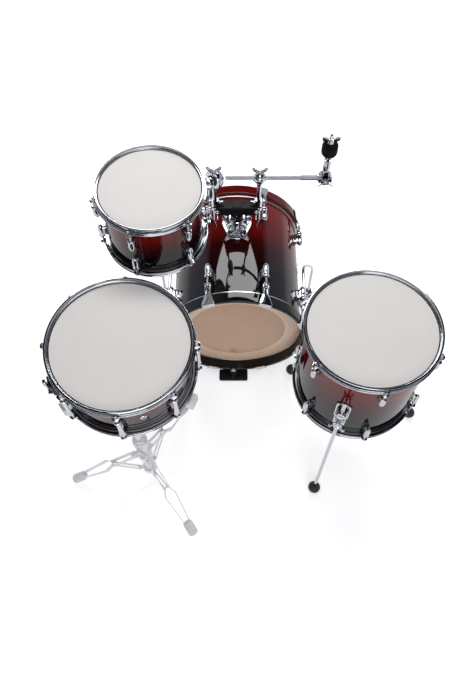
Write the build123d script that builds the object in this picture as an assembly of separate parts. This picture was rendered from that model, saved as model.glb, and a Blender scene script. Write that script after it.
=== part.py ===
from build123d import *
import os
from math import atan2, cos, degrees, hypot, radians, sin, tan

# Acoustic drum kit, in millimetres and degrees. +Z is up, the drummer sits towards -Y.
# The origin lies on the floor under the riser plate, straight below the bass drum's axis.

# Clearances
RUNNING_GAP = 0.05
FREE_GAP = 0.3

# Bass drum
BASS_RADIUS = 203.2
BASS_DEPTH = 381.0
BASS_WALL = 7.0
BASS_AXIS_HEIGHT = 262.5
BATTER_EDGE_Y = 40.0
BASS_HOOP_INNER = 206.5
BASS_HOOP_THICKNESS = 11.5
BASS_HOOP_WIDTH = 33.0
BASS_LUG_COUNT = 8
BASS_FIRST_LUG = 22.5
BASS_ROD_RADIUS = 3.2
BASS_ROD_OFFSET = 22.5
BASS_LUG_START = 55.0
BASS_LUG_LENGTH = 52.0
BASS_LUG_RADIUS = 9.0
CLAW_WIDTH = 40.0
CLAW_TAIL_WIDTH = 19.0
CLAW_SHEET = 3.2
CLAW_LIP = 10.0
CLAW_TAIL = 31.0
BASS_ROD_HEAD_RADIUS = 5.3

# Drum heads
FILM = 0.5
FLESH_GAP = 0.8
FLESH_WIDTH = 5.2
FLESH_HEIGHT = 8.0

# Rim drums: shell, steel hoops, tension rods and lugs
SHELL_WALL = 6.5
BEARING_ROUND = 1.5
HOOP_SHEET = 2.3
HOOP_RISE = 11.0
HOOP_DROP = 9.0
HOOP_FLANGE = 5.5
HOOP_LIP = 3.0
HOOP_STEP = 2.8
ROD_RADIUS = 3.0
ROD_OFFSET = 15.0
ROD_HOLE_PLAY = 0.4
KEY_SQUARE = 5.6
KEY_HEIGHT = 8.0
WASHER_RADIUS = 6.0
EAR_RADIUS = 8.5
LUG_RADIUS = 8.5
LUG_FOOT_WIDTH = 15.0
LUG_START = 30.0
LUG_LENGTH = 42.0
ROD_GRIP = 26.0

# Rack tom
TOM_RADIUS = 127.0
TOM_DEPTH = 177.8
TOM_CENTRE = (-215.8, 114.8, 821.9)
TOM_LEAN_FRONT = 2.6
TOM_LEAN_RIGHT = 1.3
TOM_LUG_COUNT = 6
TOM_FIRST_LUG = 13.5

# Floor tom
FLOOR_RADIUS = 165.1
FLOOR_DEPTH = 304.8
FLOOR_CENTRE = (342.3, -172.9, 629.4)
FLOOR_LUG_COUNT = 6
FLOOR_FIRST_LUG = 34.3
LEG_FIRST_ANGLE = 7.3
LEG_NAMES = ("right", "rear", "front")
LEG_RADIUS = 5.25
LEG_OFFSET = 25.0
LEG_TOP = 560.0
LEG_BEND_HEIGHT = 310.0
LEG_BEND_RADIUS = 60.0
LEG_FOOT_CIRCLE = 245.7
LEG_FOOT_RADIUS = 19.0
LEG_FOOT_FLAT = 1.0
LEG_BRACKET_HEIGHT = 462.0
LEG_BRACKET_LENGTH = 74.0
LEG_BRACKET_WIDTH = 32.0
LEG_BRACKET_EDGE = 11.0
LEG_LOCK_RADIUS = 11.0
LEG_LOCK_HEIGHT = 13.0

# Snare drum
SNARE_RADIUS = 165.1
SNARE_DEPTH = 152.4
SNARE_ASIDE = 3.4
SNARE_FORWARD = 85.3
SNARE_RISE = 228.8
SNARE_LEAN_FRONT = 4.0
SNARE_LEAN_RIGHT = 1.4
SNARE_LUG_COUNT = 8
SNARE_FIRST_LUG = 1.0
THROW_OFF_ANGLE = 202.0
WIRE_COUNT = 20
WIRE_PITCH = 2.4
WIRE_RADIUS = 0.8
WIRE_LENGTH = 264.0
WIRE_DROP = 3.0
WIRE_PLATE_LENGTH = 16.0
WIRE_PLATE_THICKNESS = 1.2
STRAP_WIDTH = 38.0
STRAP_THICKNESS = 0.6
STRAP_TOP = 26.0
STRAP_OFFSET = 17.0
GATE_WIDTH = 52.0
GATE_HEIGHT = 6.5
STRAP_CLAMP_WIDTH = 48.0
STRAP_CLAMP_LOW = 12.0
STRAP_CLAMP_HIGH = 28.0
STRAP_CLAMP_DEPTH = 21.0
THROW_BODY_WIDTH = 32.0
THROW_BODY_DEPTH = 26.0
THROW_BODY_TOP = 90.0
LEVER_PIVOT_HEIGHT = 46.0
LEVER_PIVOT_OFFSET = 32.0
LEVER_PIN_RADIUS = 2.5
LEVER_WIDTH = 16.0
LEVER_THICKNESS = 6.0
LEVER_LENGTH = 52.0
LEVER_CHEEK = 4.0

# Tom holder on top of the bass drum
HOLDER_Y = 292.0
HOLDER_BASE_WIDTH = 94.0
HOLDER_BASE_LENGTH = 105.0
HOLDER_BASE_PLATE = 7.0
HOLDER_TOWER_HEIGHT = 49.0
HOLDER_TOWER_FOOT = 34.0
HOLDER_TOWER_TOP = 23.0
POST_RADIUS = 11.0
POST_BELOW_SHELL = 62.0
POST_LOCK_RADIUS = 20.0
POST_LOCK_HEIGHT = 13.0
CROSSBAR_CLEARANCE = 12.0
CROSSBAR_LENGTH = 126.0
CROSSBAR_DEPTH = 34.0
CROSSBAR_THICKNESS = 30.0
ARM_SPACING = 129.0
ARM_RADIUS = 6.35
ARM_LOW = 503.0
ARM_LOCK_RADIUS = 11.5
ARM_LOCK_HEIGHT = 20.0
STRAP_RING_WALL = 2.6
STRAP_RING_HEIGHT = 12.0

# Ball clamp and bent rod of the rack tom
TOM_BALL_HEIGHT = 672.0
TOM_BALL_RADIUS = 18.0
TOM_SOCKET_WALL = 10.5
TOM_SOCKET_GRIP = 8.0
TOM_ROD_RADIUS = 5.0
TOM_ROD_BEND = 18.0
TOM_ROD_ELBOW = 150.0
TOM_ROD_TOP = 37.0
TOM_MOUNT_ANGLE = 47.0
TOM_MOUNT_OFFSET = 38.0
TOM_MOUNT_MIDDLE = 107.0
TOM_MOUNT_LENGTH = 50.0
TOM_MOUNT_WIDTH = 30.0
TOM_MOUNT_EDGE = 12.0
TOM_MOUNT_PLATE = 4.0
TOM_MOUNT_PLATE_WIDTH = 46.0
TOM_MOUNT_PLATE_LENGTH = 74.0

# Cymbal boom
BOOM_HEIGHT = 678.0
BOOM_RADIUS = 5.5
BOOM_LEFT_END = -32.0
BOOM_SLEEVE_START = 181.0
BOOM_SLEEVE_RADIUS = 7.0
BOOM_BALL_RADIUS = 18.0
TILTER_X = 248.0
TILTER_RADIUS = 20.0
TILTER_DISC = 11.0
TILTER_BOLT_RADIUS = 4.0
SEAT_SOCKET_RADIUS = 10.5
SEAT_NECK_WIDTH = 16.0
SEAT_SOCKET_LOW = 22.0
SEAT_SOCKET_HIGH = 67.0
SEAT_ROD_RADIUS = 4.0
SEAT_ROD_TOP = 154.0
FELT_RADIUS = 22.0
FELT_THICKNESS = 20.0
FELT_LOW = 87.0
CUP_RADIUS = 14.0
CUP_THICKNESS = 4.0
NUT_RADIUS = 8.0
NUT_HEIGHT = 13.0
NUT_BLADE_LENGTH = 25.0
NUT_BLADE_HEIGHT = 16.0
NUT_BLADE_THICKNESS = 4.0

# Spurs of the bass drum
SPUR_OFFSET = 21.8
SPUR_RADIUS = 5.0
SPUR_START_DEPTH = 96.0
SPUR_END_PROUD = 4.0
SPUR_BRACKET_LENGTH = 42.0
SPUR_BRACKET_HEIGHT = 34.0
SPUR_BRACKET_EDGE = 11.0
SPUR_BEND_DEPTH = 121.0
SPUR_KNEE_OUT = 43.0
SPUR_KNEE_ALONG = 35.0
SPUR_KNEE_DROP = 62.5
SPUR_FOOT_OUT = 45.0
SPUR_FOOT_ALONG = 50.0
SPUR_BEND_RADIUS = 60.0
SPUR_ROD_LOW = 14.0
SPUR_FOOT_TOP_RADIUS = 10.0
SPUR_FOOT_BASE_RADIUS = 16.0
SPUR_FOOT_HEIGHT = 40.0

# Riser under the batter hoop
RISER_X = -12.0
RISER_WIDTH = 100.0
RISER_FRONT_Y = -15.0
RISER_BACK_Y = 27.0
RISER_PLATE = 12.0
RISER_JAW_WIDTH = 24.0
RISER_JAW = 6.0
RISER_BOLT_RADIUS = 3.0

# Wing bolts
WING_SHANK_RADIUS = 3.5
WING_HUB_RADIUS = 6.0
WING_HUB_HEIGHT = 10.0
WING_LOOP_RADIUS = 8.5
WING_WIRE_RADIUS = 2.3
WING_BOSS_RADIUS = 8.0
CUT_MARGIN = 1.0

# Snare stand
STAND_X = -278.0
STAND_Y = -343.0
STAND_TUBE_RADIUS = 12.7
STAND_TUBE_LOW = 38.0
STAND_TUBE_TOP = 296.0
STAND_LEG_COUNT = 3
STAND_FOOT_CIRCLE = 235.0
STAND_FIRST_FOOT = 66.0
STAND_FOOT_CENTRE = 15.0
STAND_FOOT_RADIUS = 15.0
STAND_FOOT_GRIP = 30.0
STAND_FOOT_NOSE = 14.0
STAND_FOOT_SPREAD = 4.8
STAND_PIVOT_CIRCLE = 31.0
STAND_UPPER_PIVOT = 175.0
STAND_LOWER_PIVOT = 55.0
STAND_PIN_RADIUS = 3.0
STAND_COLLAR_WALL = 9.0
STAND_COLLAR_HALF = 10.0
STAND_TONGUE = 14.0
STAND_STRIP = 2.5
STAND_STRIP_WIDTH = 14.0
STAND_BOW_START = 0.41
STAND_BOW_END = 0.47
STAND_BOW = 15.8
STAND_RIVET_HEAD = 2.0
STAND_RIVET_RADIUS = 4.5
BRACE_TONGUE = 7.0
BRACE_STRIP = 2.0
BRACE_WIDTH = 12.0
HEIGHT_CLAMP_LENGTH = 28.0
MAST_RADIUS = 9.5
MAST_LOW = 120.0
MAST_LOCK_RADIUS = 17.0
MAST_LOCK_HEIGHT = 15.0
TILT_HEIGHT = 470.0
TILT_TONGUE = 14.0
TILT_EYE_RADIUS = 13.0
TILT_CHEEK = 6.0
TILT_PIN_RADIUS = 4.0

# Basket under the snare drum
BASKET_DROP = 52.0
BASKET_HUB_RADIUS = 22.0
BASKET_HUB_HEIGHT = 22.0
BASKET_NECK_RADIUS = 8.0
BASKET_ARM_ANGLES = (98.5, 214.5, 334.5)
BASKET_PIVOT_CIRCLE = 33.0
BASKET_TONGUE = 10.0
BASKET_PIN_RADIUS = 3.0
BASKET_ARM_STRIP = 3.0
BASKET_ARM_WIDTH = 14.0
BASKET_ARM_REACH = 24.0
BASKET_TIP_WIDTH = 26.0
BASKET_TIP_WALL = 7.0
BASKET_TIP_TOP = 10.0
BASKET_TIP_SHELF = 14.0


# General shapes

def lathe(points):
    """Solid of an outline of (radius, height) points turned about Z."""
    outline = Polyline(*[(r, 0, z) for r, z in points], close=True)
    return revolve(make_face(outline), Axis.Z)


def ring(inner, outer, low, high):
    """Plain ring about Z."""
    return lathe([(inner, low), (outer, low), (outer, high), (inner, high)])


def block(x, y, z):
    """Box given by its low and high values on each axis."""
    size = Box(x[1] - x[0], y[1] - y[0], z[1] - z[0])
    return Pos((x[0] + x[1]) / 2, (y[0] + y[1]) / 2, (z[0] + z[1]) / 2) * size


def bar(start, end, radius):
    """Round bar between two points."""
    run = Vector(*end) - Vector(*start)
    return extrude(Plane(origin=start, z_dir=run) * Circle(radius), amount=run.length)


def bent_rod(points, bend_radius, radius):
    """Round rod through points, with an arc at each corner."""
    path = FilletPolyline(*points, radius=bend_radius)
    return sweep(Plane(origin=points[0], z_dir=path % 0) * Circle(radius), path=path)


def flat_strip(start, end, width, low, high):
    """Flat strip with round ends, from start to end in the XZ plane, thick from y = low to y = high."""
    run_x = end[0] - start[0]
    run_z = end[1] - start[1]
    middle = Pos((start[0] + end[0]) / 2, low, (start[1] + end[1]) / 2)
    slope = degrees(atan2(run_z, run_x))
    outline = Rot(90, 0, 0) * Rot(0, 0, slope) * SlotCenterToCenter(hypot(run_x, run_z), width)
    return middle * extrude(outline, amount=high - low, dir=(0, 1, 0))


def strip_hole(point, low, high, pin_radius):
    """Running hole for a pin, through a strip made by flat_strip."""
    start = (point[0], low - CUT_MARGIN, point[1])
    return bar(start, (point[0], high + CUT_MARGIN, point[1]), pin_radius + RUNNING_GAP)


def group(shapes):
    """One compound of the separate solids of several shapes."""
    return Compound([solid for shape in shapes for solid in shape.solids()])


def turned(angle, shape):
    """Shape turned about Z."""
    return Rot(0, 0, angle) * shape


def wing_bolt(shank_length):
    """Bolt along Z with two wire loops. Its hub stands on z = 0 and the shank reaches below."""
    hub = Pos(0, 0, WING_HUB_HEIGHT / 2) * Cylinder(WING_HUB_RADIUS, WING_HUB_HEIGHT)
    shank = Pos(0, 0, -shank_length / 2) * Cylinder(WING_SHANK_RADIUS, shank_length)
    loop = Rot(90, 0, 0) * Torus(WING_LOOP_RADIUS, WING_WIRE_RADIUS)
    reach = WING_HUB_RADIUS + WING_LOOP_RADIUS - WING_WIRE_RADIUS
    height = WING_LOOP_RADIUS + WING_WIRE_RADIUS
    return hub + shank + Pos(reach, 0, height) * loop + Pos(-reach, 0, height) * loop


def facing(origin, direction):
    """Place whose Z runs along a direction."""
    return Location(Plane(origin=origin, z_dir=direction))


# Drums with steel hoops

class RimDrum:
    """A drum in its own frame: the batter edge is at z = 0 and the shell hangs below it."""

    def __init__(self, radius, depth, lug_count, first_lug, centre, lean_front, lean_right):
        self.radius = radius
        self.depth = depth
        self.rod_x = radius + ROD_OFFSET
        self.angles = [first_lug + 360 * k / lug_count for k in range(lug_count)]
        normal = Vector(tan(radians(lean_right)), -tan(radians(lean_front)), 1).normalized()
        side = (Vector(1, 0, 0) - normal * normal.X).normalized()
        self.frame = Location(Plane(origin=centre, x_dir=side, z_dir=normal))
        self.normal = normal

    def at(self, x, y, z):
        """Point of the drum's frame in the kit's frame."""
        return (self.frame * Pos(x, y, z)).position

    def upside_down(self, shape):
        """Mirror image of a batter-side shape, for the other end."""
        return mirror(shape, about=Plane.XY.offset(-self.depth / 2))

    def both_ends(self, shapes):
        return shapes + [self.upside_down(shape) for shape in shapes]

    def around(self, shape):
        """Copies of a shape at every lug."""
        return [turned(angle, shape) for angle in self.angles]

    def placed(self, shapes):
        return group([self.frame * shape for shape in shapes])

    def core(self):
        """Everything inside the shell's outer face, to cut what is seated on it."""
        return Pos(0, 0, -self.depth / 2) * Cylinder(self.radius, 2 * self.depth)

    def shell(self):
        inside = self.radius - SHELL_WALL
        crest = self.radius - BEARING_ROUND
        bevel = SHELL_WALL - BEARING_ROUND
        return lathe([
            (inside, -bevel), (crest, 0), (self.radius, -BEARING_ROUND),
            (self.radius, -self.depth + BEARING_ROUND), (crest, -self.depth), (inside, -self.depth + bevel),
        ])

    def heads(self):
        inner = self.radius + FLESH_GAP
        outer = inner + FLESH_WIDTH
        batter = lathe([
            (0, 0), (inner, 0), (inner, -FLESH_HEIGHT), (outer, -FLESH_HEIGHT), (outer, FILM), (0, FILM),
        ])
        return self.both_ends([batter])

    def hoop(self):
        inner = self.radius + FLESH_GAP + FLESH_WIDTH + FREE_GAP
        outer = inner + HOOP_SHEET
        step = inner - HOOP_STEP
        band = lathe([
            (inner, -HOOP_DROP), (outer + HOOP_FLANGE, -HOOP_DROP),
            (outer + HOOP_FLANGE, -HOOP_DROP + HOOP_SHEET), (outer, -HOOP_DROP + HOOP_SHEET),
            (outer, HOOP_RISE - HOOP_SHEET), (outer + HOOP_LIP, HOOP_RISE - HOOP_SHEET),
            (outer + HOOP_LIP, HOOP_RISE), (inner, HOOP_RISE),
            (inner, FILM + HOOP_SHEET), (step, FILM + HOOP_SHEET), (step, FILM), (inner, FILM),
        ])
        ear_middle = -HOOP_DROP + HOOP_SHEET / 2
        ear = Pos(self.rod_x, 0, ear_middle) * Cylinder(EAR_RADIUS, HOOP_SHEET)
        neck = block((outer, self.rod_x), (-EAR_RADIUS, EAR_RADIUS), (-HOOP_DROP, -HOOP_DROP + HOOP_SHEET))
        hole = Pos(self.rod_x, 0, ear_middle) * Cylinder(ROD_RADIUS + ROD_HOLE_PLAY, 2 * HOOP_SHEET)
        return band + self.around(ear + neck) - self.around(hole)

    def tension_rods(self):
        seat = -HOOP_DROP + HOOP_SHEET
        end = -LUG_START - ROD_GRIP
        collar = ROD_RADIUS + KEY_SQUARE / 2
        washer_top = seat + HOOP_SHEET / 2
        collar_top = washer_top + HOOP_SHEET
        stem = lathe([
            (0, end), (ROD_RADIUS, end), (ROD_RADIUS, seat), (WASHER_RADIUS, seat),
            (WASHER_RADIUS, washer_top), (collar, washer_top), (collar, collar_top), (0, collar_top),
        ])
        key = block((-KEY_SQUARE / 2, KEY_SQUARE / 2), (-KEY_SQUARE / 2, KEY_SQUARE / 2),
                    (collar_top, collar_top + KEY_HEIGHT))
        return self.both_ends(self.around(Pos(self.rod_x, 0, 0) * (stem + key)))

    def seated(self, casing, low, high):
        """Casing with a foot down to the shell, from low to high."""
        half = LUG_FOOT_WIDTH / 2
        foot = block((self.radius - SHELL_WALL, self.rod_x), (-half, half), (low, high))
        return casing + foot - self.core()

    def rod_bore(self):
        bore = Cylinder(ROD_RADIUS + RUNNING_GAP, 2 * ROD_GRIP)
        return Pos(self.rod_x, 0, -LUG_START) * bore

    def single_lugs(self):
        """Separate lugs for the two ends, each a round-ended casing."""
        low = -LUG_START - LUG_LENGTH
        barrel_low = low + LUG_RADIUS
        barrel = ring(0, LUG_RADIUS, barrel_low, -LUG_START) + Pos(0, 0, barrel_low) * Sphere(LUG_RADIUS)
        lug = self.seated(Pos(self.rod_x, 0, 0) * barrel, barrel_low, -LUG_START - LUG_RADIUS / 2)
        return self.both_ends(self.around(lug - self.rod_bore()))

    def double_lugs(self):
        """Lugs that take a rod from each end."""
        low = -self.depth + LUG_START
        barrel = Pos(self.rod_x, 0, 0) * ring(0, LUG_RADIUS, low, -LUG_START)
        waist = self.seated(barrel, low + LUG_LENGTH / 3, -LUG_START - LUG_LENGTH / 3)
        return self.around(waist - self.both_ends([self.rod_bore()]))


TOM = RimDrum(TOM_RADIUS, TOM_DEPTH, TOM_LUG_COUNT, TOM_FIRST_LUG, TOM_CENTRE, TOM_LEAN_FRONT, TOM_LEAN_RIGHT)
FLOOR_TOM = RimDrum(FLOOR_RADIUS, FLOOR_DEPTH, FLOOR_LUG_COUNT, FLOOR_FIRST_LUG, FLOOR_CENTRE, 0, 0)
SNARE_CENTRE = (STAND_X + SNARE_ASIDE, STAND_Y + SNARE_FORWARD, TILT_HEIGHT + SNARE_RISE)
SNARE = RimDrum(SNARE_RADIUS, SNARE_DEPTH, SNARE_LUG_COUNT, SNARE_FIRST_LUG, SNARE_CENTRE,
                SNARE_LEAN_FRONT, SNARE_LEAN_RIGHT)


# Bass drum

BASS_FRAME = Location(Plane(origin=(0, BATTER_EDGE_Y, BASS_AXIS_HEIGHT), x_dir=(1, 0, 0), z_dir=(0, -1, 0)))
BASS_TOP = BASS_AXIS_HEIGHT + BASS_RADIUS
BASS_HOOP_OUTER = BASS_HOOP_INNER + BASS_HOOP_THICKNESS
BASS_ROD_X = BASS_RADIUS + BASS_ROD_OFFSET


def bass_both_ends(shapes):
    """Batter-side shapes and their mirror images on the front side, in the bass drum's frame."""
    return shapes + [mirror(shape, about=Plane.XY.offset(-BASS_DEPTH / 2)) for shape in shapes]


def bass_around(shape):
    return [turned(BASS_FIRST_LUG + 360 * k / BASS_LUG_COUNT, shape) for k in range(BASS_LUG_COUNT)]


def bass_placed(shapes):
    return group([BASS_FRAME * shape for shape in shapes])


def bass_core():
    """Everything inside the shell's outer face, in the kit's frame."""
    return BASS_FRAME * Pos(0, 0, -BASS_DEPTH / 2) * Cylinder(BASS_RADIUS, 2 * BASS_DEPTH)


def bass_shell():
    inside = BASS_RADIUS - BASS_WALL
    crest = BASS_RADIUS - BEARING_ROUND
    bevel = BASS_WALL - BEARING_ROUND
    tube = lathe([
        (inside, -bevel), (crest, 0), (BASS_RADIUS, -BEARING_ROUND),
        (BASS_RADIUS, -BASS_DEPTH + BEARING_ROUND), (crest, -BASS_DEPTH), (inside, -BASS_DEPTH + bevel),
    ])
    post_hole = bar((0, HOLDER_Y, BASS_AXIS_HEIGHT), (0, HOLDER_Y, BASS_TOP + BASS_WALL),
                    POST_RADIUS + FREE_GAP)
    return BASS_FRAME * tube - post_hole


def bass_heads():
    inner = BASS_RADIUS + FLESH_GAP
    outer = inner + FLESH_WIDTH
    batter = lathe([
        (0, 0), (inner, 0), (inner, -FLESH_HEIGHT), (outer, -FLESH_HEIGHT), (outer, FILM), (0, FILM),
    ])
    return bass_placed(bass_both_ends([batter]))


def bass_hoop():
    return ring(BASS_HOOP_INNER, BASS_HOOP_OUTER, FILM, FILM + BASS_HOOP_WIDTH)


def bass_claw():
    """Claw in the bass drum's frame, at +X: a tapered plate, a lip over the hoop and an eye for the rod."""
    front = FILM + BASS_HOOP_WIDTH
    top = BASS_HOOP_OUTER + CLAW_SHEET
    half = CLAW_WIDTH / 2
    half_tail = CLAW_TAIL_WIDTH / 2
    lip = block((BASS_HOOP_OUTER - CLAW_LIP, top), (-half, half), (front, front + CLAW_SHEET))
    taper = [(top, half, front), (top, half_tail, 0), (top, -half_tail, 0), (top, -half, front)]
    plate = extrude(make_face(Polyline(*taper, close=True)), amount=CLAW_SHEET, dir=(-1, 0, 0))
    rib_low = BASS_HOOP_OUTER - CLAW_SHEET
    rib_top = BASS_ROD_X + BASS_LUG_RADIUS / 2
    rib = block((rib_low, rib_top), (half_tail - CLAW_SHEET, half_tail), (-CLAW_TAIL, 0))
    wing = block((BASS_HOOP_OUTER, rib_top), (half_tail - CLAW_SHEET, half_tail), (0, front / 2))
    eye = block((rib_low, rib_top), (-half_tail, half_tail), (-CLAW_TAIL - CLAW_SHEET, -CLAW_TAIL))
    hole = Pos(BASS_ROD_X, 0, -CLAW_TAIL) * Cylinder(BASS_ROD_RADIUS + ROD_HOLE_PLAY, 4 * CLAW_SHEET)
    cheek = rib + wing
    return lip + plate + cheek + mirror(cheek, about=Plane.XZ) + eye - hole


def bass_rod():
    """Tension rod in the bass drum's frame, at +X. Its head pulls on the claw's eye."""
    end = -BASS_LUG_START - ROD_GRIP
    head_top = -CLAW_TAIL + KEY_HEIGHT
    stem = lathe([
        (0, end), (BASS_ROD_RADIUS, end), (BASS_ROD_RADIUS, -CLAW_TAIL), (BASS_ROD_HEAD_RADIUS, -CLAW_TAIL),
        (BASS_ROD_HEAD_RADIUS, head_top), (0, head_top),
    ])
    key = block((-KEY_SQUARE / 2, KEY_SQUARE / 2), (-KEY_SQUARE / 2, KEY_SQUARE / 2),
                (head_top, head_top + KEY_HEIGHT))
    return Pos(BASS_ROD_X, 0, 0) * (stem + key)


def bass_lug():
    """Lug in the bass drum's frame, at +X."""
    low = -BASS_LUG_START - BASS_LUG_LENGTH
    barrel_low = low + BASS_LUG_RADIUS
    barrel = ring(0, BASS_LUG_RADIUS, barrel_low, -BASS_LUG_START)
    dome = Pos(0, 0, barrel_low) * Sphere(BASS_LUG_RADIUS)
    foot = block((BASS_RADIUS - BASS_WALL, BASS_ROD_X), (-LUG_FOOT_WIDTH / 2, LUG_FOOT_WIDTH / 2),
                 (barrel_low, -BASS_LUG_START - BASS_LUG_RADIUS / 2))
    bore = Pos(0, 0, -BASS_LUG_START) * Cylinder(BASS_ROD_RADIUS + RUNNING_GAP, 2 * ROD_GRIP)
    core = Pos(0, 0, -BASS_DEPTH / 2) * Cylinder(BASS_RADIUS, 2 * BASS_DEPTH)
    return Pos(BASS_ROD_X, 0, 0) * (barrel + dome - bore) + (foot - Pos(BASS_ROD_X, 0, 0) * bore) - core


# Spurs, mirrored for the left side. The rod starts behind the batter edge and bends before the front edge.

SPUR_X = BASS_RADIUS + SPUR_OFFSET
SPUR_ROD_START = BATTER_EDGE_Y + SPUR_START_DEPTH
SPUR_BRACKET_START = SPUR_ROD_START + SPUR_END_PROUD
SPUR_BRACKET_END = SPUR_BRACKET_START + SPUR_BRACKET_LENGTH
SPUR_BEND_Y = BATTER_EDGE_Y + BASS_DEPTH - SPUR_BEND_DEPTH
SPUR_FOOT_X = SPUR_X + SPUR_FOOT_OUT
SPUR_FOOT_Y = SPUR_BEND_Y + SPUR_FOOT_ALONG


def spur_bracket():
    """Bracket and wing bolt on the right side of the bass drum."""
    half = SPUR_BRACKET_HEIGHT / 2
    outer = SPUR_X + SPUR_BRACKET_EDGE
    body = block((BASS_RADIUS - BASS_WALL, outer), (SPUR_BRACKET_START, SPUR_BRACKET_END),
                 (BASS_AXIS_HEIGHT - half, BASS_AXIS_HEIGHT + half))
    rod_hole = bar((SPUR_X, SPUR_BRACKET_START - CUT_MARGIN, BASS_AXIS_HEIGHT),
                   (SPUR_X, SPUR_BRACKET_END + CUT_MARGIN, BASS_AXIS_HEIGHT),
                   SPUR_RADIUS + RUNNING_GAP)
    middle = (SPUR_BRACKET_START + SPUR_BRACKET_END) / 2
    shank = half - SPUR_RADIUS - FREE_GAP
    bolt = Pos(SPUR_X, middle, BASS_AXIS_HEIGHT + half) * wing_bolt(shank)
    return [body - bass_core() - rod_hole - bolt, bolt]


def spur():
    """Bent rod and rubber foot of the right side."""
    points = [
        (SPUR_X, SPUR_ROD_START, BASS_AXIS_HEIGHT), (SPUR_X, SPUR_BEND_Y, BASS_AXIS_HEIGHT),
        (SPUR_X + SPUR_KNEE_OUT, SPUR_BEND_Y + SPUR_KNEE_ALONG, BASS_AXIS_HEIGHT - SPUR_KNEE_DROP),
        (SPUR_FOOT_X, SPUR_FOOT_Y, SPUR_ROD_LOW),
    ]
    rod = bent_rod(points, SPUR_BEND_RADIUS, SPUR_RADIUS)
    cone = Cone(SPUR_FOOT_BASE_RADIUS, SPUR_FOOT_TOP_RADIUS, SPUR_FOOT_HEIGHT)
    foot = Pos(SPUR_FOOT_X, SPUR_FOOT_Y, SPUR_FOOT_HEIGHT / 2) * cone
    return [rod, foot - rod]


def left_side(shapes):
    return [mirror(shape, about=Plane.YZ) for shape in shapes]


# Riser

def riser():
    """Plate on the floor, with a jaw that grips the batter hoop and a bolt that closes it."""
    hoop_front = BATTER_EDGE_Y - FILM - BASS_HOOP_WIDTH
    hoop_low = BASS_AXIS_HEIGHT - BASS_HOOP_OUTER
    hoop_inside = BASS_AXIS_HEIGHT - BASS_HOOP_INNER
    jaw_x = (RISER_X - RISER_JAW_WIDTH / 2, RISER_X + RISER_JAW_WIDTH / 2)
    plate = block((RISER_X - RISER_WIDTH / 2, RISER_X + RISER_WIDTH / 2),
                  (RISER_FRONT_Y, RISER_BACK_Y), (0, RISER_PLATE))
    upright = block(jaw_x, (hoop_front, RISER_BACK_Y), (RISER_PLATE, hoop_low + RISER_JAW))
    web = block(jaw_x, (hoop_front - RISER_JAW, hoop_front), (RISER_PLATE, hoop_inside + 2 * RISER_JAW))
    jaw = block(jaw_x, (hoop_front - RISER_JAW, RISER_BACK_Y - RISER_JAW),
                (hoop_inside, hoop_inside + 2 * RISER_JAW))
    clamp_z = hoop_inside + RISER_JAW
    bolt_end = (RISER_X, hoop_front - 2 * RISER_JAW, clamp_z)
    bolt = bar(bolt_end, (RISER_X, hoop_front, clamp_z), RISER_BOLT_RADIUS)
    hoop = BASS_FRAME * bass_hoop()
    return [plate + upright + web + jaw - hoop - bolt, bolt]


# Tom holder. The crossbar is clear of the memory lock that stops on the tower.

POST_LOCK_LOW = BASS_TOP + HOLDER_TOWER_HEIGHT + FREE_GAP
CROSSBAR_LOW = POST_LOCK_LOW + POST_LOCK_HEIGHT + CROSSBAR_CLEARANCE
CROSSBAR_HEIGHT = CROSSBAR_LOW + CROSSBAR_THICKNESS / 2


def holder_base():
    """Cast base seated on the shell, and its wing bolt."""
    deck = BASS_TOP + HOLDER_BASE_PLATE
    top = BASS_TOP + HOLDER_TOWER_HEIGHT
    plate = block((-HOLDER_BASE_WIDTH / 2, HOLDER_BASE_WIDTH / 2),
                  (HOLDER_Y - HOLDER_BASE_LENGTH / 2, HOLDER_Y + HOLDER_BASE_LENGTH / 2),
                  (BASS_TOP - HOLDER_TOWER_HEIGHT, deck))
    plate = fillet(plate.edges().filter_by(Axis.Z), HOLDER_BASE_WIDTH / 4)
    tower = Cone(HOLDER_TOWER_FOOT, HOLDER_TOWER_TOP, HOLDER_TOWER_HEIGHT)
    tower = Pos(0, HOLDER_Y, BASS_TOP + HOLDER_TOWER_HEIGHT / 2) * tower
    boss_y = HOLDER_Y - HOLDER_TOWER_FOOT - WING_HUB_RADIUS / 2
    boss_z = deck + WING_LOOP_RADIUS
    boss = bar((0, boss_y, boss_z), (0, HOLDER_Y, boss_z), WING_BOSS_RADIUS)
    bore = bar((0, HOLDER_Y, BASS_AXIS_HEIGHT), (0, HOLDER_Y, top + CUT_MARGIN), POST_RADIUS + RUNNING_GAP)
    shank = HOLDER_Y - POST_RADIUS - FREE_GAP - boss_y
    bolt = Location(Plane(origin=(0, boss_y, boss_z), x_dir=(1, 0, 0), z_dir=(0, -1, 0))) * wing_bolt(shank)
    return [plate + tower + boss - bass_core() - bore - bolt, bolt]


def holder_post():
    low = BASS_TOP - POST_BELOW_SHELL
    post = ring(0, POST_RADIUS, low, CROSSBAR_LOW + CROSSBAR_THICKNESS)
    lock = ring(POST_RADIUS, POST_LOCK_RADIUS, POST_LOCK_LOW, POST_LOCK_LOW + POST_LOCK_HEIGHT)
    return [Pos(0, HOLDER_Y, 0) * post, Pos(0, HOLDER_Y, 0) * lock]


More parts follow.
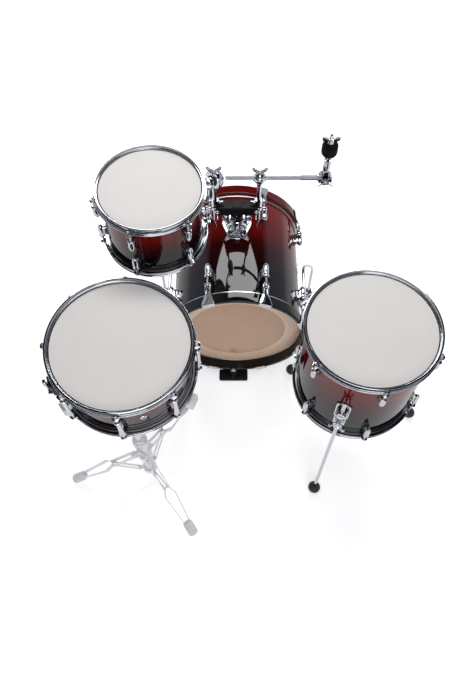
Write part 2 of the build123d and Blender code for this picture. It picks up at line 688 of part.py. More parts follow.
def strap_ring(side):
    """Ring of a strap bolt round an arm tube, with its stud and nut behind the crossbar."""
    inner = ARM_RADIUS + RUNNING_GAP
    outer = inner + STRAP_RING_WALL
    half = STRAP_RING_HEIGHT / 2
    collar = Pos(side * ARM_SPACING / 2, HOLDER_Y, CROSSBAR_HEIGHT) * ring(inner, outer, -half, half)
    stud_start = (side * (ARM_SPACING / 2 - inner - STRAP_RING_WALL / 2), HOLDER_Y, CROSSBAR_HEIGHT)
    stud_end = (side * POST_RADIUS * 2, HOLDER_Y, CROSSBAR_HEIGHT)
    return collar + bar(stud_start, stud_end, WING_SHANK_RADIUS)


def holder_crossbar():
    body = block((-CROSSBAR_LENGTH / 2, CROSSBAR_LENGTH / 2),
                 (HOLDER_Y - CROSSBAR_DEPTH / 2, HOLDER_Y + CROSSBAR_DEPTH / 2),
                 (CROSSBAR_LOW, CROSSBAR_LOW + CROSSBAR_THICKNESS))
    body = fillet(body.edges().filter_by(Axis.X), CROSSBAR_DEPTH / 8)
    body = body - Pos(0, HOLDER_Y, CROSSBAR_HEIGHT) * Cylinder(POST_RADIUS, 2 * CROSSBAR_THICKNESS)
    strap_outer = ARM_RADIUS + RUNNING_GAP + STRAP_RING_WALL + RUNNING_GAP
    for side in (-1, 1):
        place = Pos(side * ARM_SPACING / 2, HOLDER_Y, CROSSBAR_HEIGHT)
        groove = place * Cylinder(ARM_RADIUS + FREE_GAP, 2 * CROSSBAR_THICKNESS)
        pocket = place * Cylinder(strap_outer, STRAP_RING_HEIGHT + 2 * RUNNING_GAP)
        body = body - groove - pocket - strap_ring(side)
    return body


def arm_tube(side, top):
    """Arm tube and its memory lock above the crossbar."""
    tube = ring(0, ARM_RADIUS, ARM_LOW, top)
    lock_low = CROSSBAR_LOW + CROSSBAR_THICKNESS + FREE_GAP
    lock = ring(ARM_RADIUS, ARM_LOCK_RADIUS, lock_low, lock_low + ARM_LOCK_HEIGHT)
    key_z = lock_low + ARM_LOCK_HEIGHT / 2
    key = bar((0, 0, key_z), (-side * 2 * ARM_LOCK_RADIUS, 0, key_z), WING_SHANK_RADIUS)
    key = key - ring(0, ARM_LOCK_RADIUS, lock_low, lock_low + ARM_LOCK_HEIGHT)
    place = Pos(side * ARM_SPACING / 2, HOLDER_Y, 0)
    return [place * tube, place * lock, place * key]


# Ball clamp and bent rod of the rack tom

TOM_BALL = (-ARM_SPACING / 2, HOLDER_Y, TOM_BALL_HEIGHT)
TOM_MOUNT_CIRCLE = TOM_RADIUS + TOM_MOUNT_OFFSET


def tom_mount_point(z):
    angle = radians(TOM_MOUNT_ANGLE)
    return TOM.at(TOM_MOUNT_CIRCLE * cos(angle), TOM_MOUNT_CIRCLE * sin(angle), z)


def tom_arm():
    """Left arm: tube with a socket that holds the ball, and the wing bolt on top."""
    cavity = TOM_BALL_RADIUS + FREE_GAP
    outer = cavity + TOM_SOCKET_WALL
    way_out = (tom_mount_point(-TOM_ROD_ELBOW) - Vector(*TOM_BALL)).normalized()
    mouth = facing(Vector(*TOM_BALL) + way_out * TOM_SOCKET_GRIP, way_out)
    cut = mouth * Pos(0, 0, outer) * Box(4 * outer, 4 * outer, 2 * outer)
    tube, lock, key = arm_tube(-1, TOM_BALL_HEIGHT - cavity)
    socket = Pos(*TOM_BALL) * (Sphere(outer) - Sphere(cavity)) - cut
    bolt = Pos(TOM_BALL[0], TOM_BALL[1], TOM_BALL_HEIGHT + outer - CUT_MARGIN) * wing_bolt(CUT_MARGIN)
    tube = tube - Pos(*TOM_BALL) * Sphere(cavity) - cut
    return [tube + socket - bolt, lock, key, bolt]


def tom_l_rod():
    """Ball with a rod that runs level to the mount and bends up through it."""
    points = [TOM_BALL, tom_mount_point(-TOM_ROD_ELBOW), tom_mount_point(-TOM_ROD_TOP)]
    return bent_rod(points, TOM_ROD_BEND, TOM_ROD_RADIUS) + Pos(*TOM_BALL) * Sphere(TOM_BALL_RADIUS)


def tom_mount():
    """Shell plate, clamp block and wing bolt, in the tom's frame."""
    half = TOM_MOUNT_LENGTH / 2
    half_plate = TOM_MOUNT_PLATE_LENGTH / 2
    outer = TOM_MOUNT_CIRCLE + TOM_MOUNT_EDGE
    arm = block((TOM_RADIUS - SHELL_WALL, outer), (-TOM_MOUNT_WIDTH / 2, TOM_MOUNT_WIDTH / 2),
                (-TOM_MOUNT_MIDDLE - half, -TOM_MOUNT_MIDDLE + half))
    plate = block((TOM_RADIUS - SHELL_WALL, TOM_RADIUS + TOM_MOUNT_PLATE),
                  (-TOM_MOUNT_PLATE_WIDTH / 2, TOM_MOUNT_PLATE_WIDTH / 2),
                  (-TOM_MOUNT_MIDDLE - half_plate, -TOM_MOUNT_MIDDLE + half_plate))
    bore = Cylinder(TOM_ROD_RADIUS + RUNNING_GAP, 2 * TOM_MOUNT_LENGTH)
    bore = Pos(TOM_MOUNT_CIRCLE, 0, -TOM_MOUNT_MIDDLE) * bore
    shank = TOM_MOUNT_EDGE - TOM_ROD_RADIUS - FREE_GAP
    bolt = facing((outer, 0, -TOM_MOUNT_MIDDLE), (1, 0, 0)) * wing_bolt(shank)
    body = arm + plate - TOM.core() - bore - bolt
    return TOM.placed([turned(TOM_MOUNT_ANGLE, body), turned(TOM_MOUNT_ANGLE, bolt)])


# Cymbal boom

BOOM_BALL = (ARM_SPACING / 2, HOLDER_Y, BOOM_HEIGHT)


def cymbal_arm():
    """Right arm: tube with a ball that the boom slides through, and the wing bolt on top."""
    tube, lock, key = arm_tube(1, BOOM_HEIGHT)
    ball = Pos(*BOOM_BALL) * Sphere(BOOM_BALL_RADIUS)
    reach = 2 * BOOM_BALL_RADIUS
    bore = bar((BOOM_BALL[0] - reach, HOLDER_Y, BOOM_HEIGHT), (BOOM_BALL[0] + reach, HOLDER_Y, BOOM_HEIGHT),
               BOOM_RADIUS + RUNNING_GAP)
    shank = BOOM_BALL_RADIUS - BOOM_RADIUS - FREE_GAP
    bolt = Pos(BOOM_BALL[0], HOLDER_Y, BOOM_HEIGHT + BOOM_BALL_RADIUS) * wing_bolt(shank)
    return [tube + ball - bore - bolt, lock, key, bolt]


def cymbal_boom():
    """Rod with a sleeve and the fixed tilter disc, and the tilter's bolt with its wing nut."""
    joint = (BOOM_SLEEVE_START, HOLDER_Y, BOOM_HEIGHT)
    rod = bar((BOOM_LEFT_END, HOLDER_Y, BOOM_HEIGHT), joint, BOOM_RADIUS)
    sleeve = bar(joint, (TILTER_X, HOLDER_Y, BOOM_HEIGHT), BOOM_SLEEVE_RADIUS)
    face = (TILTER_X, HOLDER_Y + FREE_GAP, BOOM_HEIGHT)
    back = (TILTER_X, HOLDER_Y + FREE_GAP + TILTER_DISC, BOOM_HEIGHT)
    disc = bar(face, back, TILTER_RADIUS)
    room = bar(face, (TILTER_X, HOLDER_Y - 2 * TILTER_DISC, BOOM_HEIGHT), TILTER_RADIUS + FREE_GAP)
    head = (TILTER_X, HOLDER_Y - TILTER_DISC - FREE_GAP, BOOM_HEIGHT)
    bolt = bar(back, head, TILTER_BOLT_RADIUS)
    nut = Location(Plane(origin=head, x_dir=(1, 0, 0), z_dir=(0, -1, 0))) * wing_bolt(CUT_MARGIN)
    return [rod + (sleeve - room) + disc + bolt + nut]


def cymbal_tilter():
    """Moving tilter disc with the socket of the seat post, and the cup under the felts."""
    low_y = HOLDER_Y - TILTER_DISC
    disc = bar((TILTER_X, low_y, BOOM_HEIGHT), (TILTER_X, HOLDER_Y, BOOM_HEIGHT), TILTER_RADIUS)
    neck = block((TILTER_X - SEAT_NECK_WIDTH / 2, TILTER_X + SEAT_NECK_WIDTH / 2), (low_y, HOLDER_Y),
                 (BOOM_HEIGHT, BOOM_HEIGHT + SEAT_SOCKET_LOW + TILTER_DISC))
    place = Pos(TILTER_X, HOLDER_Y, BOOM_HEIGHT)
    socket = place * ring(0, SEAT_SOCKET_RADIUS, SEAT_SOCKET_LOW, SEAT_SOCKET_HIGH)
    post_hole = place * ring(0, SEAT_ROD_RADIUS, SEAT_SOCKET_LOW + TILTER_DISC, SEAT_SOCKET_HIGH + CUT_MARGIN)
    bolt_hole = bar((TILTER_X, low_y - CUT_MARGIN, BOOM_HEIGHT),
                    (TILTER_X, HOLDER_Y + CUT_MARGIN, BOOM_HEIGHT),
                    TILTER_BOLT_RADIUS + RUNNING_GAP)
    return disc + neck + socket - post_hole - bolt_hole


def cymbal_post():
    """Seat rod with the cup that carries the felts."""
    rod = ring(0, SEAT_ROD_RADIUS, SEAT_SOCKET_LOW + TILTER_DISC, SEAT_ROD_TOP)
    cup = ring(0, CUP_RADIUS, FELT_LOW - CUP_THICKNESS, FELT_LOW)
    return Pos(TILTER_X, HOLDER_Y, BOOM_HEIGHT) * (rod + cup)


def cymbal_felts():
    felt = ring(SEAT_ROD_RADIUS, FELT_RADIUS, FELT_LOW, FELT_LOW + FELT_THICKNESS)
    return group([Pos(TILTER_X, HOLDER_Y, BOOM_HEIGHT + k * FELT_THICKNESS) * felt for k in range(2)])


def cymbal_wing_nut():
    low = FELT_LOW + 2 * FELT_THICKNESS + FREE_GAP
    hub = ring(0, NUT_RADIUS, low, low + NUT_HEIGHT)
    half = NUT_BLADE_THICKNESS / 2
    blades = block((-NUT_BLADE_LENGTH, NUT_BLADE_LENGTH), (-half, half),
                   (low + NUT_HEIGHT - NUT_BLADE_HEIGHT / 2, low + NUT_HEIGHT + NUT_BLADE_HEIGHT / 2))
    bore = ring(0, SEAT_ROD_RADIUS + RUNNING_GAP, low - CUT_MARGIN, low + NUT_HEIGHT + NUT_BLADE_HEIGHT)
    return Pos(TILTER_X, HOLDER_Y, BOOM_HEIGHT) * (hub + blades - bore)


# Floor tom legs

LEG_CIRCLE = FLOOR_RADIUS + LEG_OFFSET
LEG_FOOT_HEIGHT = LEG_FOOT_RADIUS - LEG_FOOT_FLAT


def leg_angle(k):
    return LEG_FIRST_ANGLE + 360 * k / len(LEG_NAMES)


def floor_upright(angle, shape):
    """Shape made beside the floor tom's axis on +X, at floor level, turned to its leg."""
    return Pos(FLOOR_CENTRE[0], FLOOR_CENTRE[1], 0) * turned(angle, shape)


def floor_leg(k):
    """Bent rod, memory lock below the bracket and rubber foot."""
    bend = (LEG_CIRCLE, 0, LEG_BEND_HEIGHT)
    points = [(LEG_CIRCLE, 0, LEG_TOP), bend, (LEG_FOOT_CIRCLE, 0, LEG_FOOT_HEIGHT)]
    rod = bent_rod(points, LEG_BEND_RADIUS, LEG_RADIUS)
    lock_top = LEG_BRACKET_HEIGHT - LEG_BRACKET_LENGTH / 2 - FREE_GAP
    lock = Pos(LEG_CIRCLE, 0, 0) * ring(LEG_RADIUS, LEG_LOCK_RADIUS, lock_top - LEG_LOCK_HEIGHT, lock_top)
    ball = Pos(LEG_FOOT_CIRCLE, 0, LEG_FOOT_HEIGHT) * Sphere(LEG_FOOT_RADIUS)
    floor = Box(4 * LEG_FOOT_RADIUS, 4 * LEG_FOOT_RADIUS, 2 * LEG_FOOT_RADIUS)
    foot = ball - Pos(LEG_FOOT_CIRCLE, 0, -LEG_FOOT_RADIUS) * floor - rod
    return group([floor_upright(leg_angle(k), shape) for shape in (rod, lock, foot)])


def floor_leg_brackets():
    half = LEG_BRACKET_LENGTH / 2
    half_width = LEG_BRACKET_WIDTH / 2
    outer = LEG_CIRCLE + LEG_BRACKET_EDGE
    body = block((FLOOR_RADIUS - SHELL_WALL, outer), (-half_width, half_width),
                 (LEG_BRACKET_HEIGHT - half, LEG_BRACKET_HEIGHT + half))
    core = Pos(0, 0, LEG_BRACKET_HEIGHT) * Cylinder(FLOOR_RADIUS, FLOOR_DEPTH)
    bore = Pos(LEG_CIRCLE, 0, LEG_BRACKET_HEIGHT) * Cylinder(LEG_RADIUS + RUNNING_GAP, 2 * LEG_BRACKET_LENGTH)
    shank = LEG_BRACKET_EDGE - LEG_RADIUS - FREE_GAP
    bolt = facing((outer, 0, LEG_BRACKET_HEIGHT), (1, 0, 0)) * wing_bolt(shank)
    bracket = body - core - bore - bolt
    angles = [leg_angle(k) for k in range(len(LEG_NAMES))]
    return group([floor_upright(angle, shape) for angle in angles for shape in (bracket, bolt)])


# Snare drum

SNARE_LOW = -SNARE_DEPTH - FILM


def snare_hoops():
    """Batter hoop, and snare-side hoop with a gate for the strap at each end of the wires."""
    batter = SNARE.hoop()
    gate = block((SNARE_RADIUS, SNARE_RADIUS + ROD_OFFSET), (-GATE_WIDTH / 2, GATE_WIDTH / 2),
                 (SNARE_LOW - GATE_HEIGHT, SNARE_LOW))
    gates = [turned(THROW_OFF_ANGLE, gate), turned(THROW_OFF_ANGLE + 180, gate)]
    return SNARE.placed([batter, SNARE.upside_down(batter) - gates])


def snare_wires():
    """Wires between two end plates, each with a strap out through its gate."""
    wire_z = SNARE_LOW - FREE_GAP - WIRE_RADIUS
    plate_top = wire_z
    plate_low = plate_top - WIRE_PLATE_THICKNESS
    half_length = WIRE_LENGTH / 2
    plate_half = WIRE_PITCH * WIRE_COUNT / 2 + WIRE_PITCH / 2
    end = block((half_length - WIRE_PLATE_LENGTH, half_length), (-plate_half, plate_half),
                (plate_low, plate_top))
    strap_out = SNARE_RADIUS + STRAP_OFFSET + STRAP_THICKNESS
    half_strap = STRAP_WIDTH / 2
    level = block((half_length - WIRE_PLATE_LENGTH / 2, strap_out), (-half_strap, half_strap),
                  (plate_low - STRAP_THICKNESS, plate_low))
    rise = block((strap_out - STRAP_THICKNESS, strap_out), (-half_strap, half_strap),
                 (plate_low - STRAP_THICKNESS, -SNARE_DEPTH + STRAP_TOP))
    one_end = end + level + rise
    strip = one_end + turned(180, one_end)
    for k in range(WIRE_COUNT):
        y = WIRE_PITCH * (k - (WIRE_COUNT - 1) / 2)
        strip = strip + bar((-half_length, y, wire_z), (half_length, y, wire_z), WIRE_RADIUS)
    return SNARE.placed([turned(THROW_OFF_ANGLE, strip)])


def strap_clamp():
    """Lower block of the throw-off and of the butt plate, with the slot that takes the strap."""
    half = STRAP_CLAMP_WIDTH / 2
    body = block((SNARE_RADIUS - SHELL_WALL, SNARE_RADIUS + STRAP_CLAMP_DEPTH), (-half, half),
                 (-SNARE_DEPTH + STRAP_CLAMP_LOW, -SNARE_DEPTH + STRAP_CLAMP_HIGH))
    slot_low = SNARE_RADIUS + STRAP_OFFSET - FREE_GAP
    slot_high = SNARE_RADIUS + STRAP_OFFSET + STRAP_THICKNESS + FREE_GAP
    half_slot = STRAP_WIDTH / 2 + FREE_GAP
    slot = block((slot_low, slot_high), (-half_slot, half_slot), (-SNARE_DEPTH, 0))
    return body - slot - SNARE.core()


LEVER_X = SNARE_RADIUS + LEVER_PIVOT_OFFSET
LEVER_Z = -SNARE_DEPTH + LEVER_PIVOT_HEIGHT


def snare_throw_off():
    """Body with the pivot pin of its lever."""
    half = THROW_BODY_WIDTH / 2
    body = block((SNARE_RADIUS - SHELL_WALL, SNARE_RADIUS + THROW_BODY_DEPTH), (-half, half),
                 (-SNARE_DEPTH + STRAP_CLAMP_HIGH, -SNARE_DEPTH + THROW_BODY_TOP))
    inner = LEVER_WIDTH / 2 + FREE_GAP
    cheek = block((SNARE_RADIUS + THROW_BODY_DEPTH - CUT_MARGIN, LEVER_X + LEVER_CHEEK),
                  (inner, inner + LEVER_CHEEK), (LEVER_Z - LEVER_CHEEK, LEVER_Z + LEVER_CHEEK))
    reach = inner + LEVER_CHEEK / 2
    pin = bar((LEVER_X, -reach, LEVER_Z), (LEVER_X, reach, LEVER_Z), LEVER_PIN_RADIUS)
    whole = strap_clamp() + (body - SNARE.core()) + cheek + mirror(cheek, about=Plane.XZ) + pin
    return SNARE.placed([turned(THROW_OFF_ANGLE, whole)])


def snare_lever():
    """Lever that lies against the throw-off's body and swings out."""
    half = LEVER_WIDTH / 2
    low = LEVER_X - LEVER_THICKNESS / 2
    plate = block((low, low + LEVER_THICKNESS), (-half, half), (LEVER_Z, LEVER_Z + LEVER_LENGTH))
    eye = bar((LEVER_X, -half, LEVER_Z), (LEVER_X, half, LEVER_Z), LEVER_PIN_RADIUS * 2)
    reach = half + CUT_MARGIN
    hole = bar((LEVER_X, -reach, LEVER_Z), (LEVER_X, reach, LEVER_Z), LEVER_PIN_RADIUS + RUNNING_GAP)
    return SNARE.placed([turned(THROW_OFF_ANGLE, plate + eye - hole)])


def snare_butt_plate():
    return SNARE.placed([turned(THROW_OFF_ANGLE + 180, strap_clamp())])


# Snare stand. The leg and its brace have equal arms from their collars to where they cross.

STAND_PLACE = Pos(STAND_X, STAND_Y, 0)
STAND_LEG_RUN = STAND_FOOT_CIRCLE - STAND_PIVOT_CIRCLE
STAND_LEG_DROP = STAND_UPPER_PIVOT - STAND_FOOT_CENTRE
STAND_LEG_LENGTH = hypot(STAND_LEG_RUN, STAND_LEG_DROP)
BRACE_RISE = (STAND_UPPER_PIVOT - STAND_LOWER_PIVOT) / 2
BRACE_REACH = BRACE_RISE * STAND_LEG_RUN / STAND_LEG_DROP
BRACE_END = (STAND_PIVOT_CIRCLE + BRACE_REACH, STAND_LOWER_PIVOT + BRACE_RISE)
COLLAR_OUTER = STAND_TUBE_RADIUS + STAND_COLLAR_WALL


def stand_angle(k):
    return STAND_FIRST_FOOT + 360 * k / STAND_LEG_COUNT


def pivot_collar(inner, height, tongue, pin_half):
    """Collar about the stand's axis with a tongue and a pivot pin at each leg."""
    half = STAND_COLLAR_HALF
    collar = ring(inner, COLLAR_OUTER, height - half, height + half)
    lug = block((STAND_TUBE_RADIUS + STAND_COLLAR_WALL / 2, STAND_PIVOT_CIRCLE), (-tongue / 2, tongue / 2),
                (height - half / 2, height + half / 2))
    eye = bar((STAND_PIVOT_CIRCLE, -tongue / 2, height), (STAND_PIVOT_CIRCLE, tongue / 2, height), half / 2)
    pin = Pos(STAND_PIVOT_CIRCLE, 0, height) * Rot(90, 0, 0) * Cylinder(STAND_PIN_RADIUS, 2 * pin_half)
    for k in range(STAND_LEG_COUNT):
        collar = collar + turned(stand_angle(k), lug + eye + pin)
    return collar


def stand_base_tube():
    """Tube with the fixed lower collar, and the height clamp with its wing bolt."""
    inner = MAST_RADIUS + RUNNING_GAP
    tube = ring(inner, STAND_TUBE_RADIUS, STAND_TUBE_LOW, STAND_TUBE_TOP)
    pin_half = BRACE_TONGUE / 2 + FREE_GAP + BRACE_STRIP
    collar = pivot_collar(STAND_TUBE_RADIUS, STAND_LOWER_PIVOT, BRACE_TONGUE, pin_half)
    clamp_low = STAND_TUBE_TOP - HEIGHT_CLAMP_LENGTH
    clamp = ring(STAND_TUBE_RADIUS, COLLAR_OUTER, clamp_low, STAND_TUBE_TOP)
    clamp_z = STAND_TUBE_TOP - HEIGHT_CLAMP_LENGTH / 2
    boss_end = (0, -COLLAR_OUTER - WING_HUB_RADIUS, clamp_z)
    boss = bar((0, -STAND_TUBE_RADIUS, clamp_z), boss_end, WING_BOSS_RADIUS)
    bolt = Location(Plane(origin=boss_end, x_dir=(1, 0, 0), z_dir=(0, -1, 0))) * wing_bolt(WING_HUB_RADIUS)
    boss = boss - ring(0, STAND_TUBE_RADIUS, clamp_low, STAND_TUBE_TOP)
    return group([STAND_PLACE * (tube + collar + clamp + boss - bolt), STAND_PLACE * bolt])


def stand_ring():
    """Upper collar that slides on the tube and carries the legs."""
    pin_half = STAND_TONGUE / 2 + FREE_GAP + STAND_STRIP
    collar = pivot_collar(STAND_TUBE_RADIUS + RUNNING_GAP, STAND_UPPER_PIVOT, STAND_TONGUE, pin_half)
    return STAND_PLACE * collar


def bowed_strip():
    """Strip of a leg along X from its pivot, on the +Y side. It bows out past the brace."""
    inner = STAND_TONGUE / 2 + FREE_GAP
    half = STAND_STRIP_WIDTH / 2
    inside = [
        (-half, inner), (STAND_BOW_START * STAND_LEG_LENGTH, inner),
        (STAND_BOW_END * STAND_LEG_LENGTH, STAND_BOW), (STAND_LEG_LENGTH + half, STAND_FOOT_SPREAD),
    ]
    outside = [(x, y + STAND_STRIP) for x, y in reversed(inside)]
    band = extrude(make_face(Polyline(*inside, *outside, close=True)), amount=half, both=True)
    outline = flat_strip((0, 0), (STAND_LEG_LENGTH, 0), STAND_STRIP_WIDTH, 0, STAND_BOW + 2 * STAND_STRIP)
    outer = inner + STAND_STRIP
    brace_x = hypot(BRACE_REACH, BRACE_RISE)
    rivet = bar((brace_x, outer, 0), (brace_x, outer + STAND_RIVET_HEAD, 0), STAND_RIVET_RADIUS)
    return (band & outline) - strip_hole((0, 0), inner, outer, STAND_PIN_RADIUS) + rivet


def stand_leg(k):
    """Two strips from the upper collar to a rubber foot, with rivet heads where the brace meets them."""
    near_side = bowed_strip()
    far_side = mirror(near_side, about=Plane.XZ)
    rubber = bar((STAND_LEG_LENGTH - STAND_FOOT_GRIP, 0, 0), (STAND_LEG_LENGTH + STAND_FOOT_NOSE, 0, 0),
                 STAND_FOOT_RADIUS)
    slope = degrees(atan2(STAND_LEG_DROP, STAND_LEG_RUN))
    leaning = Pos(STAND_PIVOT_CIRCLE, 0, STAND_UPPER_PIVOT) * Rot(0, slope, 0)
    below = Box(4 * STAND_FOOT_RADIUS, 4 * STAND_FOOT_RADIUS, 2 * STAND_FOOT_RADIUS)
    foot = leaning * (rubber - near_side - far_side) - Pos(STAND_FOOT_CIRCLE, 0, -STAND_FOOT_RADIUS) * below
    shapes = (leaning * near_side, leaning * far_side, foot)
    return group([STAND_PLACE * turned(stand_angle(k), shape) for shape in shapes])


def stand_brace(k):
    """Two thin strips from the lower collar to between the strips of the leg, joined at the far end."""
    inner = BRACE_TONGUE / 2 + FREE_GAP
    outer = inner + BRACE_STRIP
    pivot = (STAND_PIVOT_CIRCLE, STAND_LOWER_PIVOT)
    strip = flat_strip(pivot, BRACE_END, BRACE_WIDTH, inner, outer)
    near_side = strip - strip_hole(pivot, inner, outer, STAND_PIN_RADIUS)
    spacer = bar((BRACE_END[0], -inner, BRACE_END[1]), (BRACE_END[0], inner, BRACE_END[1]), STAND_PIN_RADIUS)
    return STAND_PLACE * turned(stand_angle(k), near_side + mirror(near_side, about=Plane.XZ) + spacer)


def stand_mast():
    """Mast with its tilting eye, and the memory lock that stops on the height clamp."""
    rod_top = TILT_HEIGHT - TILT_EYE_RADIUS - 2 * FREE_GAP
    rod = ring(0, MAST_RADIUS, MAST_LOW, rod_top)
    half = TILT_TONGUE / 2
    tongue = block((-half, half), (-MAST_RADIUS, MAST_RADIUS), (rod_top - CUT_MARGIN, TILT_HEIGHT))
    tongue = tongue & ring(0, MAST_RADIUS, rod_top - CUT_MARGIN, TILT_HEIGHT)
    eye = bar((-half, 0, TILT_HEIGHT), (half, 0, TILT_HEIGHT), TILT_EYE_RADIUS)
    reach = half + CUT_MARGIN
    hole = bar((-reach, 0, TILT_HEIGHT), (reach, 0, TILT_HEIGHT), TILT_PIN_RADIUS + RUNNING_GAP)
    lock_low = STAND_TUBE_TOP + FREE_GAP
    lock = ring(MAST_RADIUS, MAST_LOCK_RADIUS, lock_low, lock_low + MAST_LOCK_HEIGHT)
    return group([STAND_PLACE * (rod + tongue + eye - hole), STAND_PLACE * lock])


# Basket

BASKET_Z = -SNARE_DEPTH - BASKET_DROP
BASKET_ARM_CIRCLE = SNARE_RADIUS + BASKET_ARM_REACH
RIM_LOW = -SNARE_DEPTH - HOOP_RISE


def basket_hub():
    """Hub on the snare drum's axis, with a neck down to two cheeks and a pin at the mast's eye."""
    half = BASKET_HUB_HEIGHT / 2
    hub = ring(0, BASKET_HUB_RADIUS, BASKET_Z - half, BASKET_Z + half)
    eye_radius = BASKET_ARM_WIDTH / 2
    tongue_half = BASKET_TONGUE / 2
    lug = block((0, BASKET_PIVOT_CIRCLE), (-tongue_half, tongue_half),
                (BASKET_Z - eye_radius, BASKET_Z + eye_radius))
    eye = Pos(BASKET_PIVOT_CIRCLE, 0, BASKET_Z) * Rot(90, 0, 0) * Cylinder(eye_radius, BASKET_TONGUE)
    pin_length = BASKET_TONGUE + 2 * FREE_GAP + 2 * BASKET_ARM_STRIP
    pin = Pos(BASKET_PIVOT_CIRCLE, 0, BASKET_Z) * Rot(90, 0, 0) * Cylinder(BASKET_PIN_RADIUS, pin_length)
    for angle in BASKET_ARM_ANGLES:
        hub = hub + turned(angle, lug + eye + pin)
    hub = SNARE.frame * hub
    inner = TILT_TONGUE / 2 + FREE_GAP
    outer = inner + TILT_CHEEK
    tilt = Pos(STAND_X, STAND_Y, TILT_HEIGHT)
    yoke_start = TILT_EYE_RADIUS + FREE_GAP
    yoke_end = yoke_start + TILT_CHEEK
    cheek = bar((inner, 0, 0), (outer, 0, 0), TILT_EYE_RADIUS)
    tie = block((inner, outer), (0, yoke_end), (-TILT_CHEEK, TILT_CHEEK))
    cheek = cheek + tie
    yoke = block((-outer, outer), (yoke_start, yoke_end), (-TILT_CHEEK, TILT_CHEEK))
    pin = bar((-outer, 0, 0), (outer, 0, 0), TILT_PIN_RADIUS)
    fork = tilt * (cheek + mirror(cheek, about=Plane.YZ) + yoke + pin)
    neck_start = (STAND_X, STAND_Y + yoke_start + TILT_CHEEK / 2, TILT_HEIGHT)
    neck = bar(neck_start, SNARE.at(0, 0, BASKET_Z), BASKET_NECK_RADIUS)
    room = tilt * bar((-outer, 0, 0), (outer, 0, 0), TILT_EYE_RADIUS + FREE_GAP)
    return hub + (neck - room) + fork


def basket_arm(angle):
    """Two strips out to the rim and a rubber tip that the rim stands in."""
    inner = BASKET_TONGUE / 2 + FREE_GAP
    outer = inner + BASKET_ARM_STRIP
    pivot = (BASKET_PIVOT_CIRCLE, BASKET_Z)
    rim_outer = SNARE_RADIUS + FLESH_GAP + FLESH_WIDTH + FREE_GAP + HOOP_SHEET + HOOP_FLANGE
    corner = (BASKET_ARM_CIRCLE - BASKET_ARM_WIDTH / 2, BASKET_Z)
    strip = flat_strip(pivot, corner, BASKET_ARM_WIDTH, inner, outer)
    upright_top = RIM_LOW - FREE_GAP - BASKET_ARM_WIDTH / 2
    upright = flat_strip(corner, (corner[0], upright_top), BASKET_ARM_WIDTH, inner, outer)
    near_side = strip + upright - strip_hole(pivot, inner, outer, BASKET_PIN_RADIUS)
    spacer = block((corner[0] - BASKET_ARM_WIDTH / 2, corner[0] + BASKET_ARM_WIDTH / 2), (-inner, inner),
                   (BASKET_Z, BASKET_Z + BASKET_ARM_WIDTH / 2))
    arm = near_side + mirror(near_side, about=Plane.XZ) + spacer
    half = BASKET_TIP_WIDTH / 2
    tip_inner = rim_outer + FREE_GAP
    tip_low = RIM_LOW - FREE_GAP - 2 * BASKET_TIP_WALL
    wall = block((tip_inner, tip_inner + 2 * BASKET_TIP_WALL), (-half, half),
                 (tip_low, -SNARE_DEPTH + BASKET_TIP_TOP))
    shelf = block((tip_inner - BASKET_TIP_SHELF, tip_inner), (-half, half), (tip_low, RIM_LOW - FREE_GAP))
    tip = wall + shelf - arm
    return SNARE.placed([turned(angle, arm), turned(angle, tip)])


# All nodes

